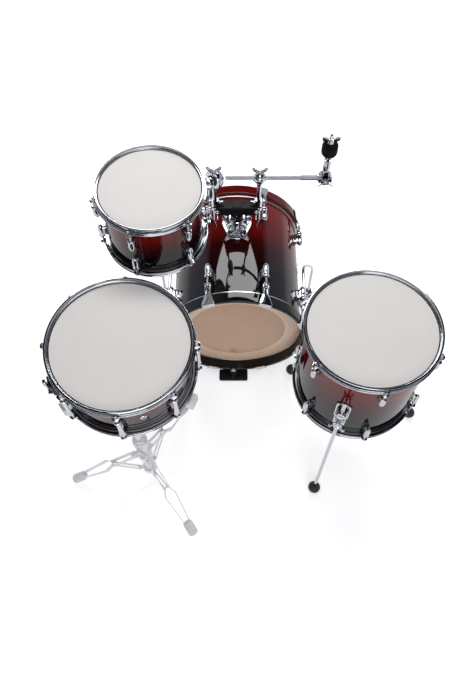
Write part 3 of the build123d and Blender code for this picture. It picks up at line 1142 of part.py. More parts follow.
def all_nodes():
    nodes = {
        "bd_shell": bass_shell(),
        "bd_heads": bass_heads(),
        "bd_hoops": bass_placed(bass_both_ends([bass_hoop()])),
        "bd_claws": bass_placed(bass_both_ends(bass_around(bass_claw()))),
        "bd_tension_rods": bass_placed(bass_both_ends(bass_around(bass_rod()))),
        "bd_lugs": bass_placed(bass_both_ends(bass_around(bass_lug()))),
        "bd_spur_brackets": group(spur_bracket() + left_side(spur_bracket())),
        "bd_riser": group(riser()),
        "tom_holder_base": group(holder_base()),
        "spur_right": group(spur()),
        "spur_left": group(left_side(spur())),
        "holder_post": group(holder_post()),
        "holder_crossbar": holder_crossbar(),
        "holder_strap_bolts": group([strap_ring(-1), strap_ring(1)]),
        "tom_arm": group(tom_arm()),
        "cymbal_arm": group(cymbal_arm()),
        "tom_l_rod": tom_l_rod(),
        "tom_mount": tom_mount(),
        "tom_shell": TOM.placed([TOM.shell()]),
        "tom_heads": TOM.placed(TOM.heads()),
        "tom_hoops": TOM.placed(TOM.both_ends([TOM.hoop()])),
        "tom_lugs": TOM.placed(TOM.single_lugs()),
        "tom_tension_rods": TOM.placed(TOM.tension_rods()),
        "cymbal_boom": group(cymbal_boom()),
        "cymbal_tilter": cymbal_tilter(),
        "cymbal_post": cymbal_post(),
        "cymbal_felts": cymbal_felts(),
        "cymbal_wing_nut": cymbal_wing_nut(),
        "ft_shell": FLOOR_TOM.placed([FLOOR_TOM.shell()]),
        "ft_heads": FLOOR_TOM.placed(FLOOR_TOM.heads()),
        "ft_hoops": FLOOR_TOM.placed(FLOOR_TOM.both_ends([FLOOR_TOM.hoop()])),
        "ft_lugs": FLOOR_TOM.placed(FLOOR_TOM.single_lugs()),
        "ft_tension_rods": FLOOR_TOM.placed(FLOOR_TOM.tension_rods()),
        "ft_leg_brackets": floor_leg_brackets(),
        "snare_shell": SNARE.placed([SNARE.shell()]),
        "snare_heads": SNARE.placed(SNARE.heads()),
        "snare_hoops": snare_hoops(),
        "snare_lugs": SNARE.placed(SNARE.double_lugs()),
        "snare_tension_rods": SNARE.placed(SNARE.tension_rods()),
        "snare_throw_off": snare_throw_off(),
        "snare_lever": snare_lever(),
        "snare_butt_plate": snare_butt_plate(),
        "snare_wires": snare_wires(),
        "stand_base_tube": stand_base_tube(),
        "stand_ring": stand_ring(),
        "stand_mast": stand_mast(),
        "basket_hub": basket_hub(),
    }
    for k, name in enumerate(LEG_NAMES):
        nodes[f"ft_leg_{name}"] = floor_leg(k)
    for k in range(STAND_LEG_COUNT):
        nodes[f"stand_leg_{k + 1}"] = stand_leg(k)
        nodes[f"stand_brace_{k + 1}"] = stand_brace(k)
    for k, angle in enumerate(BASKET_ARM_ANGLES):
        nodes[f"basket_arm_{k + 1}"] = basket_arm(angle)
    return nodes


os.makedirs("parts", exist_ok=True)
for node, shape in all_nodes().items():
    export_step(shape, f"parts/{node}.step")
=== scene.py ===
from math import atan2, cos, hypot, pi, radians, sin, tan

import bmesh
import bpy
from mathutils import Matrix, Vector


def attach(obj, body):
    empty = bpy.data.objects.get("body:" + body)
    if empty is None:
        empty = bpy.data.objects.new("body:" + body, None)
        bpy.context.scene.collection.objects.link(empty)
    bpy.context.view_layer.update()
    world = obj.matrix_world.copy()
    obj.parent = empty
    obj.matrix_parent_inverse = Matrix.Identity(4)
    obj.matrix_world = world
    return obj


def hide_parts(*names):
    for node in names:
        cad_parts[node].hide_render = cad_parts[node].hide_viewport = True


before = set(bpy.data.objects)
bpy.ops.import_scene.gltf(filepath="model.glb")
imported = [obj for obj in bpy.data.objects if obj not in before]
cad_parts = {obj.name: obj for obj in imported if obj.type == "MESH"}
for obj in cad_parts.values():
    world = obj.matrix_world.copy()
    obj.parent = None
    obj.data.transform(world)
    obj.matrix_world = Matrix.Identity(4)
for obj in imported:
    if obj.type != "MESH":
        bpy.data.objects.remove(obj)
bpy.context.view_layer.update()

camera = bpy.data.objects.new("camera", bpy.data.cameras.new("camera"))
bpy.context.collection.objects.link(camera)
camera.data.lens = 32.16
camera.location = (0.00037, -0.96515, 1.95579)
camera.rotation_euler = (radians(29.422), 0, 0)
bpy.context.scene.camera = camera


# Studio: seamless white paper on the floor, pale walls under a dark ceiling, and soft boxes.
def colour(code, strength=1.0):
    """Linear colour of an sRGB hex value."""
    channels = [int(code[k:k + 2], 16) / 255 for k in (1, 3, 5)]
    linear = [c / 12.92 if c <= 0.04045 else ((c + 0.055) / 1.055) ** 2.4 for c in channels]
    return [c * strength for c in linear] + [1.0]


def add(tree, kind, inputs=None, **settings):
    """Node with its settings, its inputs set or linked. A node's first output in use stands for the node."""
    node = tree.nodes.new(kind) if isinstance(kind, str) else kind
    for name, value in settings.items():
        setattr(node, name, value)
    for name, value in (inputs or {}).items():
        taken = [s for s in node.inputs if s.enabled]
        socket = taken[name] if isinstance(name, int) else next(s for s in taken if s.name == name)
        if isinstance(value, bpy.types.Node):
            value = next(s for s in value.outputs if s.enabled)
        if isinstance(value, bpy.types.NodeSocket):
            tree.links.new(value, socket)
        else:
            socket.default_value = value
    return node


def finish_named(name):
    """New material: its node tree and its surface shader."""
    material = bpy.data.materials.new(name)
    material.use_nodes = True
    return material, material.node_tree, material.node_tree.nodes["Principled BSDF"]


def blend(tree, factor, first, second):
    """Mix of two hex colours."""
    tints = {"Factor": factor, "A": colour(first), "B": colour(second)}
    return add(tree, "ShaderNodeMix", tints, data_type="RGBA")


def ramp(tree, factor, stops):
    """Colour ramp through (position, hex colour) stops."""
    node = add(tree, "ShaderNodeValToRGB", {"Fac": factor})
    for k, (position, tint) in enumerate(stops):
        stop = node.color_ramp.elements[k] if k < 2 else node.color_ramp.elements.new(position)
        stop.position = position
        stop.color = colour(tint)
    return node


paper, tree, surface = finish_named("matt white background paper")
grain = add(tree, "ShaderNodeTexNoise", {"Scale": 700.0, "Detail": 2.0})
tone = blend(tree, grain, "#f6f6f6", "#fbfbfb")
add(tree, surface, {"Base Color": tone, "Roughness": 0.9, "Specular IOR Level": 0.1})
# it is lifted towards white where the camera sees it, straight or in a reflection
rays = add(tree, "ShaderNodeLightPath")
seen = rays.outputs["Is Camera Ray"]
for kind in ("Is Glossy Ray", "Is Transmission Ray"):
    seen = add(tree, "ShaderNodeMath", {0: seen, 1: rays.outputs[kind]}, operation="MAXIMUM")
lift = add(tree, "ShaderNodeMath", {0: seen, 1: 0.5}, operation="MULTIPLY")
add(tree, surface, {"Emission Strength": lift, "Emission Color": (1, 1, 1, 1)})
floor_mesh = bpy.data.meshes.new("floor_paper")
floor_mesh.from_pydata([(-6, -6, 0), (6, -6, 0), (6, 6, 0), (-6, 6, 0)], [], [(0, 1, 2, 3)])
floor_mesh.materials.append(paper)
floor = bpy.data.objects.new("floor_paper", floor_mesh)
bpy.context.collection.objects.link(floor)
floor.location.z = -0.0005

room = bpy.data.worlds.new("pale walls and dark ceiling")
bpy.context.scene.world = room
room.use_nodes = True
tree = room.node_tree
way = add(tree, "ShaderNodeTexCoord")
height = add(tree, "ShaderNodeSeparateXYZ", {"Vector": way.outputs["Generated"]})
walls = ramp(tree, height.outputs["Z"], ((0.38, "#dde1ee"), (0.52, "#1c1d22")))
add(tree, tree.nodes["Background"], {"Color": walls, "Strength": 0.9})

for name, place, aim, width, length, power in (
    ("strip_box_behind", (0.0, 1.75, 2.6), (0.0, 0.15, 0.47), 3.2, 0.55, 56),
    ("soft_box_above", (0.2, -0.7, 3.3), (0.1, -0.1, 0.6), 1.7, 1.7, 23),
    ("soft_box_front", (0.4, -3.4, 1.9), (0.0, 0.0, 0.4), 1.6, 1.2, 30),
):
    lamp = bpy.data.lights.new(name, "AREA")
    lamp.shape = "RECTANGLE"
    lamp.size = width
    lamp.size_y = length
    lamp.energy = power
    box = bpy.data.objects.new(name, lamp)
    box.location = place
    box.rotation_euler = (Vector(aim) - Vector(place)).to_track_quat("-Z", "Y").to_euler()
    bpy.context.collection.objects.link(box)
bpy.context.scene.view_settings.view_transform = "Standard"


# Drum shells: tubes of bent maple plies. Outside they are stained from red to black and lacquered to a
# high gloss, inside they are bare wood. The plies are glued in a mould and the edges cut to a bevel.
def turned(outline, steps=72):
    """Shape of a closed outline of (radius, height, finish) points turned about Z, sizes in mm."""
    shape = {"points": [], "faces": [], "maps": [], "marks": []}
    rows = []
    for r, z, *_ in outline:
        first = len(shape["points"])
        if r < 1e-6:
            rows.append([first] * steps)
            shape["points"].append((0, 0, z))
        else:
            rows.append(list(range(first, first + steps)))
            turns = [2 * pi * k / steps for k in range(steps)]
            shape["points"] += [(r * cos(a), r * sin(a), z) for a in turns]
    reach = max(p[0] for p in outline) * 2 * pi / steps / 1000
    run = 0
    for a, b, row, above in zip(outline, outline[1:] + outline[:1], rows, rows[1:] + rows[:1]):
        length = hypot(b[0] - a[0], b[1] - a[1]) / 1000
        for k in range(steps if max(a[0], b[0]) > 1e-6 else 0):
            n = (k + 1) % steps
            corners = {row[k]: (k * reach, run), row[n]: (k * reach + reach, run)}
            corners[above[n]] = (k * reach + reach, run + length)
            corners.setdefault(above[k], (k * reach, run + length))
            shape["faces"].append(list(corners))
            shape["maps"].append(list(corners.values()))
            shape["marks"].append(a[2] if len(a) > 2 else 0)
        run += length
    return shape


def assemble(name, parts, finishes, sharp=34):
    """One object of several shapes in mm. Each comes with its place and the first of its finishes."""
    work = bmesh.new()
    layer = work.loops.layers.uv.new("run")
    for shape, place, finish in parts:
        made = [work.verts.new(place @ Vector(p)) for p in shape["points"]]
        faces = []
        for corners, maps, mark in zip(shape["faces"], shape["maps"], shape["marks"]):
            face = work.faces.new([made[c] for c in corners])
            face.smooth = True
            face.material_index = finish + mark
            for loop, spot in zip(face.loops, maps):
                loop[layer].uv = spot
            faces.append(face)
        bmesh.ops.recalc_face_normals(work, faces=faces)
    mesh = bpy.data.meshes.new(name)
    work.to_mesh(mesh)
    work.free()
    mesh.transform(Matrix.Scale(0.001, 4))
    mesh.set_sharp_from_angle(angle=radians(sharp))
    for finish in finishes:
        mesh.materials.append(finish)
    piece = bpy.data.objects.new(name, mesh)
    bpy.context.collection.objects.link(piece)
    return piece


def fixed(piece, body, slot, *nodes):
    """Piece that moves with a body and stands for the named solids. Its slot is not used."""
    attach(piece, body)
    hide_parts(*nodes)
    return piece


def moved(piece, place):
    """Piece whose mesh goes to a place in mm."""
    piece.data.transform(Matrix.Scale(0.001, 4) @ place @ Matrix.Scale(1000, 4))
    return piece


def leaning(centre, front, right):
    """Place of a drum: its batter edge's centre, and the degrees it leans towards the drummer and right."""
    up = Vector((tan(radians(right)), -tan(radians(front)), 1)).normalized()
    side = (Vector((1, 0, 0)) - up * up.x).normalized()
    place = Matrix((side, up.cross(side), up)).transposed().to_4x4()
    place.translation = centre
    return place


def speckle(tree, size, detail=2.0):
    """Noise in lumps of a size in metres, fixed to the piece."""
    spot = add(tree, "ShaderNodeTexCoord").outputs["Object"]
    return add(tree, "ShaderNodeTexNoise", {"Vector": spot, "Scale": 1 / size, "Detail": detail})


def streaks(tree, length, width, detail=2.0, roughness=0.5):
    """Noise in streaks of a size in metres, drawn out along the turn of a piece."""
    run_map = add(tree, "ShaderNodeUVMap", uv_map="run")
    spot = add(tree, "ShaderNodeMapping", {"Vector": run_map, "Scale": (1 / length, 1 / width, 1)})
    return add(tree, "ShaderNodeTexNoise",
               {"Vector": spot, "Scale": 1.0, "Detail": detail, "Roughness": roughness})


def shaded(tree, tint, shade):
    """Colour times a shade."""
    inputs = {"Factor": 1.0, "A": tint, "B": shade}
    return add(tree, "ShaderNodeMix", inputs, data_type="RGBA", blend_type="MULTIPLY")


# Lacquered maple: deep clear coat over stained veneer, so grain shows under mirror-like sheen.
lacquer, tree, surface = finish_named("burst stained maple under gloss lacquer")
fade = add(tree, "ShaderNodeAttribute", attribute_name="fade")
burst = ramp(tree, fade.outputs["Fac"], (
    (0.0, "#07080b"), (0.26, "#0a080a"), (0.5, "#33090a"), (0.76, "#6b120f"), (1.0, "#801812"),
))
# grain lines about 3 mm apart and 160 mm long, along the turn of the shell
grain = streaks(tree, 0.16, 0.003, 4.0, 0.6)
shade = add(tree, "ShaderNodeMapRange",
            {"Value": grain, "From Min": 0.3, "From Max": 0.7, "To Min": 0.72, "To Max": 1.15})
add(tree, surface, {"Base Color": shaded(tree, burst, shade), "Roughness": 0.4, "Specular IOR Level": 0.0,
                    "Coat Weight": 0.62, "Coat Roughness": 0.03})

# Bare maple ply: pale, dull, with growth lines along the turn.
ply, tree, surface = finish_named("bare maple ply")
tone = blend(tree, streaks(tree, 0.12, 0.002, 5.0), "#b98e62", "#e0bd8f")
add(tree, surface, {"Base Color": tone, "Roughness": 0.6})

# A drum's place has the centre of its batter edge as origin, and Z goes out through the batter head.
FLOOR_X, FLOOR_Y = 342.3, -172.9
BASS = Matrix(((1, 0, 0, 0), (0, 0, -1, 40), (0, 1, 0, 262.5), (0, 0, 0, 1)))
TOM = leaning((-215.8, 114.8, 821.9), 2.6, 1.3)
FLOOR_TOM = leaning((FLOOR_X, FLOOR_Y, 629.4), 0, 0)
SNARE = leaning((-274.6, -257.7, 698.8), 4.0, 1.4)
BASS_DEPTH = 381.0
# each drum's name, body, place, radius, depth, lugs at one end and angle of the first lug
DRUMS = (
    ("bd", "bass_drum", BASS, 203.2, BASS_DEPTH, 8, 22.5),
    ("tom", "rack_tom", TOM, 127.0, 177.8, 6, 13.5),
    ("ft", "floor_tom", FLOOR_TOM, 165.1, 304.8, 6, 34.3),
    ("snare", "snare_drum", SNARE, 165.1, 152.4, 8, 1.0),
)
for short, body, place, radius, depth, *_ in DRUMS:
    wall = 7.0 if short == "bd" else 6.5
    inside = radius - wall
    bevel = wall - 1.5
    tube = turned([
        (inside, -bevel, 1), (radius - 1.5, 0, 1), (radius - 0.5, -0.5, 0), (radius, -1.5, 0),
        (radius, -3, 0), (radius, -depth + 3, 0), (radius, -depth + 1.5, 0), (radius - 0.5, -depth + 0.5, 1),
        (radius - 1.5, -depth, 1), (inside, -depth + bevel, 1),
    ], 180)
    shell = assemble(f"{short}_shell_lacquered", [(tube, Matrix(), 0)], [lacquer, ply])
    # how far each point is from the black end, which is the batter's end on the bass drum only
    shares = [-p[2] / depth if short == "bd" else 1 + p[2] / depth for p in tube["points"]]
    shell.data.attributes.new("fade", "FLOAT", "POINT").data.foreach_set("value", shares)
    fixed(moved(shell, place), body, "shell_lacquer", f"{short}_shell")


# Drum heads: polyester film in an aluminium ring. The playing film of the toms and the snare drum is
# sprayed with a white grit coat that stops short of the edge. The bass drum's is clear, with an edge ring.
coated, tree, surface = finish_named("grit coated white polyester film")
# grit is about 0.3 mm, drawn 1.5 mm coarse so that it shows
bump = add(tree, "ShaderNodeBump", {"Height": speckle(tree, 0.0015), "Strength": 0.25, "Distance": 0.0003})
tone = blend(tree, speckle(tree, 0.09, 3.0), "#d9d5d1", "#dfdcd9")
add(tree, surface, {"Base Color": tone, "Normal": bump, "Roughness": 0.55})


def speckled(name, size, detail, first, second, inputs, bump=None):
    """Material of two colours in lumps of a size in metres. A bump is the lumps' (strength, height)."""
    material, tree, surface = finish_named(name)
    lumps = speckle(tree, size, detail)
    add(tree, surface, {"Base Color": blend(tree, lumps, first, second), **inputs})
    if bump:
        raised = add(tree, "ShaderNodeBump", {"Height": lumps, "Strength": bump[0], "Distance": bump[1]})
        add(tree, surface, {"Normal": raised})
    return material


# Uncoated film edge: clear, but painted near black as shade of the gap at the bearing edge, a dark ring.
film_edge_painted_shade = speckled("film edge painted dark as shade of the gap", 0.02, 2.0, "#1d1d1f", "#2f2e2f", {"Roughness": 0.2})

# Clear film over the bare wood inside of the bass drum: a warm tan, glossy, lighter where the edge ring
# doubles it. The ramp runs over 250 mm from the middle.
tan_film, tree, surface = finish_named("clear polyester film over a wooden drum")
along = add(tree, "ShaderNodeSeparateXYZ", {"Vector": add(tree, "ShaderNodeUVMap", uv_map="run")})
share = add(tree, "ShaderNodeMath", {0: along.outputs["Y"], 1: 0.25}, operation="DIVIDE")
bands = ramp(tree, share, (
    (0.0, "#c0997e"), (0.56, "#c29b7e"), (0.61, "#c49d7f"), (0.62, "#eacab0"), (0.8, "#e7c5a7"),
))
shade = add(tree, "ShaderNodeMapRange", {"Value": speckle(tree, 0.05, 4.0), "To Min": 0.92, "To Max": 1.06})
add(tree, surface, {"Base Color": shaded(tree, bands, shade), "Roughness": 0.14})

# Aluminium channel rolled round and crimped on the film: pale, with fine lines along the turn.
aluminium, tree, surface = finish_named("rolled aluminium channel")
tone = blend(tree, streaks(tree, 0.08, 0.0006), "#b9bbbe", "#e3e4e6")
add(tree, surface, {"Base Color": tone, "Metallic": 1.0, "Roughness": 0.28})


def build(name, parts, finishes, body, slot, *nodes):
    """Piece of several shapes that moves with a body."""
    return fixed(assemble(name, parts, finishes), body, slot, *nodes)


def at(x, y, z):
    """Place moved from the origin, in mm."""
    return Matrix.Translation((x, y, z))


def spun(degrees, axis="Z"):
    """Place turned about an axis."""
    return Matrix.Rotation(radians(degrees), 4, axis)


def upended(place, depth):
    """Place at the far end of a drum, upside down."""
    return place @ at(0, 0, -depth) @ spun(180, "X")


def head(radius):
    """Film with its collar over the bearing edge, and the ring that holds it."""
    film = turned([
        (0, 0.5, 0), (radius - 3, 0.5, 0), (radius - 0.8, 0.5, 0), (radius + 0.4, 0.3, 1),
        (radius + 1.4, -0.6, 1), (radius + 2.6, -4, 1), (radius + 1.9, -4, 1), (radius + 0.9, -1.0, 1),
        (radius - 1.2, 0, 1), (0, 0, 1),
    ], 144)
    ring = turned([
        (radius + 0.9, -7.6), (radius + 1.4, -8), (radius + 5.5, -8), (radius + 6, -7.5), (radius + 6, -0.2),
        (radius + 5.4, 0.5), (radius + 3.7, 0.5), (radius + 3.2, -0.2), (radius + 2.6, -5),
    ], 144)
    return film, ring


for short, body, place, radius, depth, *_ in DRUMS:
    film, ring = head(radius)
    under = upended(place, depth)
    # the film's edge on the toms, the snare drum and every far head is painted dark as shade of the gap
    slot, playing, edge = "coated_film", coated, film_edge_painted_shade
    if short == "bd":
        slot, playing, edge = "clear_film", tan_film, tan_film
    for end, spot, finishes in (("batter", place, [playing, edge]), ("far", under, [coated, film_edge_painted_shade])):
        build(f"{short}_heads_{end}", [(film, spot, 0), (ring, spot, 2)], finishes + [aluminium],
              body, slot, f"{short}_heads")


# Bass drum hoops: steam-bent maple, stained to match the burst at their end and lacquered.
# Claws pull them on to the heads' rings.
def rounded(points, radius, steps=3):
    """Outline with its corners rounded as far as its sides allow."""
    smooth = []
    for a, b, c in zip(points[-1:] + points[:-1], points, points[1:] + points[:1]):
        a, b, c = Vector(a[:2]), Vector(b[:2]), Vector(c[:2])
        reach = min(radius, (a - b).length * 0.45, (c - b).length * 0.45)
        start = b + (a - b).normalized() * reach
        end = b + (c - b).normalized() * reach
        for k in range(steps + 1):
            t = k / steps
            spot = start * (1 - t) ** 2 + b * 2 * t * (1 - t) + end * t ** 2
            smooth.append((spot.x, spot.y))
    return smooth


def oblong(left, low, right, high):
    """Outline with four corners."""
    return [(left, low), (right, low), (right, high), (left, high)]


def hoop_lacquer(name, tint):
    """Stained and lacquered bent wood: one deep colour with faint lengthways grain."""
    material, tree, surface = finish_named(name)
    tints = {"Factor": streaks(tree, 0.2, 0.002, 4.0), "A": colour(tint, 0.6), "B": colour(tint, 1.3)}
    tone = add(tree, "ShaderNodeMix", tints, data_type="RGBA")
    add(tree, surface, {"Base Color": tone, "Roughness": 0.4, "Specular IOR Level": 0.0, "Coat Weight": 0.62,
                        "Coat Roughness": 0.04})
    return material


HOOP_OUTSIDE = 218.0
bent = turned(rounded(oblong(206.5, 0.5, HOOP_OUTSIDE, 33.5), 3.0, 8), 180)
for name, place, tint in (
    ("bd_hoop_batter", BASS, "#0a090b"), ("bd_hoop_front", upended(BASS, BASS_DEPTH), "#5d100f"),
):
    finish = hoop_lacquer(f"{name} stained bent maple", tint)
    build(name, [(bent, place, 0)], [finish], "bass_drum", "hoop_lacquer", "bd_hoops")


# Steel hoops of the toms and the snare drum: pressed sheet with a flange at the foot and a rolled lip
# on top, chrome plated. Ears on the flange take the tension rods.
chrome, tree, surface = finish_named("bright chrome plate on steel")
# polish marks and finger haze, some 25 mm across
haze = speckle(tree, 0.025, 3.0)
gloss = add(tree, "ShaderNodeMapRange",
            {"Value": haze, "From Min": 0.35, "From Max": 0.75, "To Min": 0.05, "To Max": 0.14})
tone = blend(tree, haze, "#b0b3b8", "#c3c5c9")
add(tree, surface, {"Base Color": tone, "Metallic": 1.0, "Roughness": gloss})


def plate(outline, low, high, edge=0.8, steps=3):
    """Solid of a flat outline in XY from low to high, with rounded edges."""
    area = sum(a[0] * b[1] - b[0] * a[1] for a, b in zip(outline, outline[1:] + outline[:1]))
    outline = [Vector(p) for p in (outline if area > 0 else outline[::-1])]
    inward = []
    for a, b, c in zip(outline[-1:] + outline[:-1], outline, outline[1:] + outline[:1]):
        into, out = (b - a).normalized(), (c - b).normalized()
        sides = Vector((-into.y, into.x)), Vector((-out.y, out.x))
        inward.append((sides[0] + sides[1]) / max(0.4, 1 + sides[0].dot(sides[1])))
    turns = [radians(90 * k / steps) for k in range(steps + 1)]
    rows = [(edge * (1 - sin(a)), low + edge * (1 - cos(a))) for a in turns]
    rows += [(inset, low + high - z) for inset, z in rows[::-1]]
    count = len(outline)
    shape = {"points": [], "faces": []}
    for inset, z in rows:
        shape["points"] += [(p.x + way.x * inset, p.y + way.y * inset, z) for p, way in zip(outline, inward)]
    for k in range(len(rows) - 1):
        for j in range(count):
            n = (j + 1) % count
            lower, upper = k * count, (k + 1) * count
            shape["faces"].append([lower + j, lower + n, upper + n, upper + j])
    last = len(shape["points"])
    shape["faces"] += [list(range(count)), list(range(last - count, last))]
    flat = [(p[0] / 1000, p[1] / 1000) for p in shape["points"]]
    shape["maps"] = [[flat[c] for c in face] for face in shape["faces"]]
    shape["marks"] = [0] * len(shape["faces"])
    return shape


def mirrored(half):
    """Outline of one half, drawn on one side of the X axis, and its mirror image."""
    return half + [(x, -y) for x, y in half[::-1]]


def flanged(radius):
    """Section of a steel hoop."""
    inner = radius + 6.3
    return rounded([
        (inner, -9), (inner + 7.8, -9), (inner + 7.8, -6.7), (inner + 2.3, -6.7), (inner + 2.3, 7.4),
        (inner + 5.3, 8.7), (inner + 5.3, 10.6), (inner + 0.6, 11), (inner, 2.8), (inner - 2.8, 2.8),
        (inner - 2.8, 0.5), (inner, 0.5),
    ], 1.1, 3)


def node_group(name, inputs):
    """Geometry node tree with inputs of the given kinds, and the sockets that bring them in."""
    tree = bpy.data.node_groups.new(name, "GeometryNodeTree")
    for socket, kind in inputs.items():
        tree.interface.new_socket(socket, in_out="INPUT", socket_type=f"NodeSocket{kind}")
    tree.interface.new_socket("Parts", in_out="OUTPUT", socket_type="NodeSocketGeometry")
    return tree, add(tree, "NodeGroupInput").outputs


def hand_out(tree, copies, finish):
    """Makes the copies one mesh of one finish, as what the tree gives."""
    real = add(tree, "GeometryNodeRealizeInstances", {"Geometry": copies})
    dressed = add(tree, "GeometryNodeSetMaterial", {"Geometry": real, "Material": finish})
    add(tree, "NodeGroupOutput", {"Parts": dressed})


# This tree sets copies of a part at equal steps round a drum's axis, and upside down at the far end.
ring_tree, given = node_group("set round a drum", {
    "Part": "Geometry", "Count": "Int", "First Angle": "Float", "Far End": "Float", "Finish": "Material",
})
index = add(ring_tree, "GeometryNodeInputIndex")
share = add(ring_tree, "ShaderNodeMath", {0: index, 1: given["Count"]}, operation="DIVIDE")
sweep = {0: share, 1: 2 * pi, 2: given["First Angle"]}
angle = add(ring_tree, "ShaderNodeMath", sweep, operation="MULTIPLY_ADD")
far_spot = add(ring_tree, "ShaderNodeCombineXYZ", {"Z": given["Far End"]})
ends = []
for tipped, spot in ((0, (0, 0, 0)), (pi, far_spot)):
    points = add(ring_tree, "GeometryNodePoints", {"Count": given["Count"], "Position": spot})
    turn = add(ring_tree, "ShaderNodeCombineXYZ", {"X": tipped, "Z": angle})
    copies = {"Points": points, "Instance": given["Part"], "Rotation": turn}
    ends.append(add(ring_tree, "GeometryNodeInstanceOnPoints", copies))
has_far = add(ring_tree, "FunctionNodeCompare", {"A": given["Far End"], "B": 0.0},
              data_type="FLOAT", operation="LESS_THAN")
far = add(ring_tree, "GeometryNodeSwitch", {"Switch": has_far, "True": ends[1]}, input_type="GEOMETRY")
joined = add(ring_tree, "GeometryNodeJoinGeometry", {"Geometry": ends[0]})
add(ring_tree, joined, {"Geometry": far})
hand_out(ring_tree, joined, given["Finish"])


def made_by_nodes(piece, tree, **inputs):
    """Piece whose mesh becomes what a node tree makes of it."""
    modifier = piece.modifiers.new("made", "NODES")
    modifier.node_group = tree
    for item in tree.interface.items_tree:
        if item.in_out == "INPUT" and item.name in inputs:
            modifier[item.identifier] = inputs[item.name]
    whole = bpy.data.meshes.new_from_object(piece.evaluated_get(bpy.context.evaluated_depsgraph_get()))
    piece.modifiers.remove(modifier)
    piece.data = whole
    return piece


def round_drum(drum, name, shapes, finish, *nodes, far_too=True):
    """Copies of a part round one end of a drum or both, on the drum's body."""
    short, body, place, _, depth, count, first = drum
    piece = assemble(f"{short}_{name}", [(shape, spot, 0) for shape, spot in shapes], [finish])
    inputs = {"Count": count, "First Angle": radians(first), "Finish": finish}
    inputs["Far End"] = -depth / 1000 if far_too else 0.0
    fixed(moved(made_by_nodes(piece, ring_tree, **inputs), place), body, "chrome", *nodes)


ROD_GAP = 15
BASS_DRUM, *RIM_DRUMS = DRUMS
for drum in RIM_DRUMS:
    short, body, place, radius, depth, *_ = drum
    band = turned(flanged(radius), 160)
    bands = [(band, place, 0), (band, upended(place, depth), 0)]
    build(f"{short}_hoop_bands", bands, [chrome], body, "chrome", f"{short}_hoops")
    rod_x = radius + ROD_GAP
    half_ear = [(radius + 8, -13), (rod_x, -9), (rod_x + 9, -6)]
    ear = plate(rounded(mirrored(half_ear), 7, 5), -9.3, -6.5, 0.7, 2)
    round_drum(drum, "hoop_ears", [(ear, Matrix())], chrome)


# Tension rods: steel screws with a square head for the drum key, a collar and a washer on the hoop's ear.
# They screw into the lugs, which are zinc castings bolted to the shell on a black gasket.
rubber = speckled("black moulded rubber", 0.002, 3.0, "#0d0d0e", "#1d1d1e", {"Roughness": 0.6}, (0.3, 0.0004))


def key_head(low, high):
    """Square head for the drum key."""
    return plate(rounded(oblong(-2.9, -2.9, 2.9, 2.9), 0.6, 2), low, high, 0.6, 2)


def threaded(radius, low, high, pitch=1.6):
    """Outline of a screw thread from low to high, on its outer side only. The pitch is drawn coarse."""
    turns = int((high - low) / pitch)
    steps = range(2 * turns + 1)
    return [(radius - (0.45 if k % 2 else 0), low + (high - low) * k / (2 * turns)) for k in steps]


screw = [(0, -56)] + threaded(3.0, -56, -9.5) + [
    (3.0, -6.7), (6.0, -6.7), (6.2, -6.2), (6.0, -5.6), (5.0, -5.5), (5.4, -4.6), (5.0, -3.3), (0, -3.1),
]
key_screw = [turned(screw, 20), key_head(-3.4, 4.8)]
casting = turned([
    (3.3, -36), (3.3, -30.6), (4.0, -30), (7.0, -30), (8.3, -30.8), (8.7, -32.4), (8.5, -34.6), (7.4, -36),
    (7.3, -38), (8.1, -44), (8.5, -52), (8.0, -60), (6.6, -66), (4.2, -70.3), (1.8, -71.8), (0, -72),
    (0, -58),
], 28)
# looks along the spoke from the shell: X goes down the drum
outward = Matrix(((0, 0, 1, 0), (0, 1, 0, 0), (-1, 0, 0, 0), (0, 0, 0, 1)))
for drum in RIM_DRUMS:
    short, _, _, radius, depth, *_ = drum
    at_rod = at(radius + ROD_GAP, 0, 0)
    screws = [(shape, at_rod) for shape in key_screw]
    round_drum(drum, "key_screws", screws, chrome, f"{short}_tension_rods")
    one_lug = short == "snare"
    lug = casting
    foot = rounded(mirrored([(35, -7.5), (63, -7), (67, -3)]), 5, 5)
    if one_lug:
        half = [
            (3.3, -36), (3.3, -30.6), (4.0, -30), (7.4, -30), (8.5, -31), (8.5, -37), (7.4, -38.5),
            (6.4, -46),
        ]
        middle = depth / 2
        lug = turned(half + [(6.2, -middle)] + [(r, -depth - z) for r, z in half[::-1]], 28)
        foot = rounded(oblong(middle - 15, -7.5, middle + 15, 7.5), 7, 5)
    lug = [(lug, at_rod), (plate(foot, radius - 0.4, radius + 13, 1.4), outward)]
    round_drum(drum, "lug_castings", lug, chrome, f"{short}_lugs", far_too=not one_lug)
    middle = (min(p[0] for p in foot) + max(p[0] for p in foot)) / 2
    wider = [(middle + (x - middle) * 1.1, y * 1.22) for x, y in foot]
    gasket = plate(wider, radius - 0.4, radius + 1.1, 0.4, 2)
    round_drum(drum, "lug_gaskets", [(gasket, outward)], rubber, far_too=not one_lug)


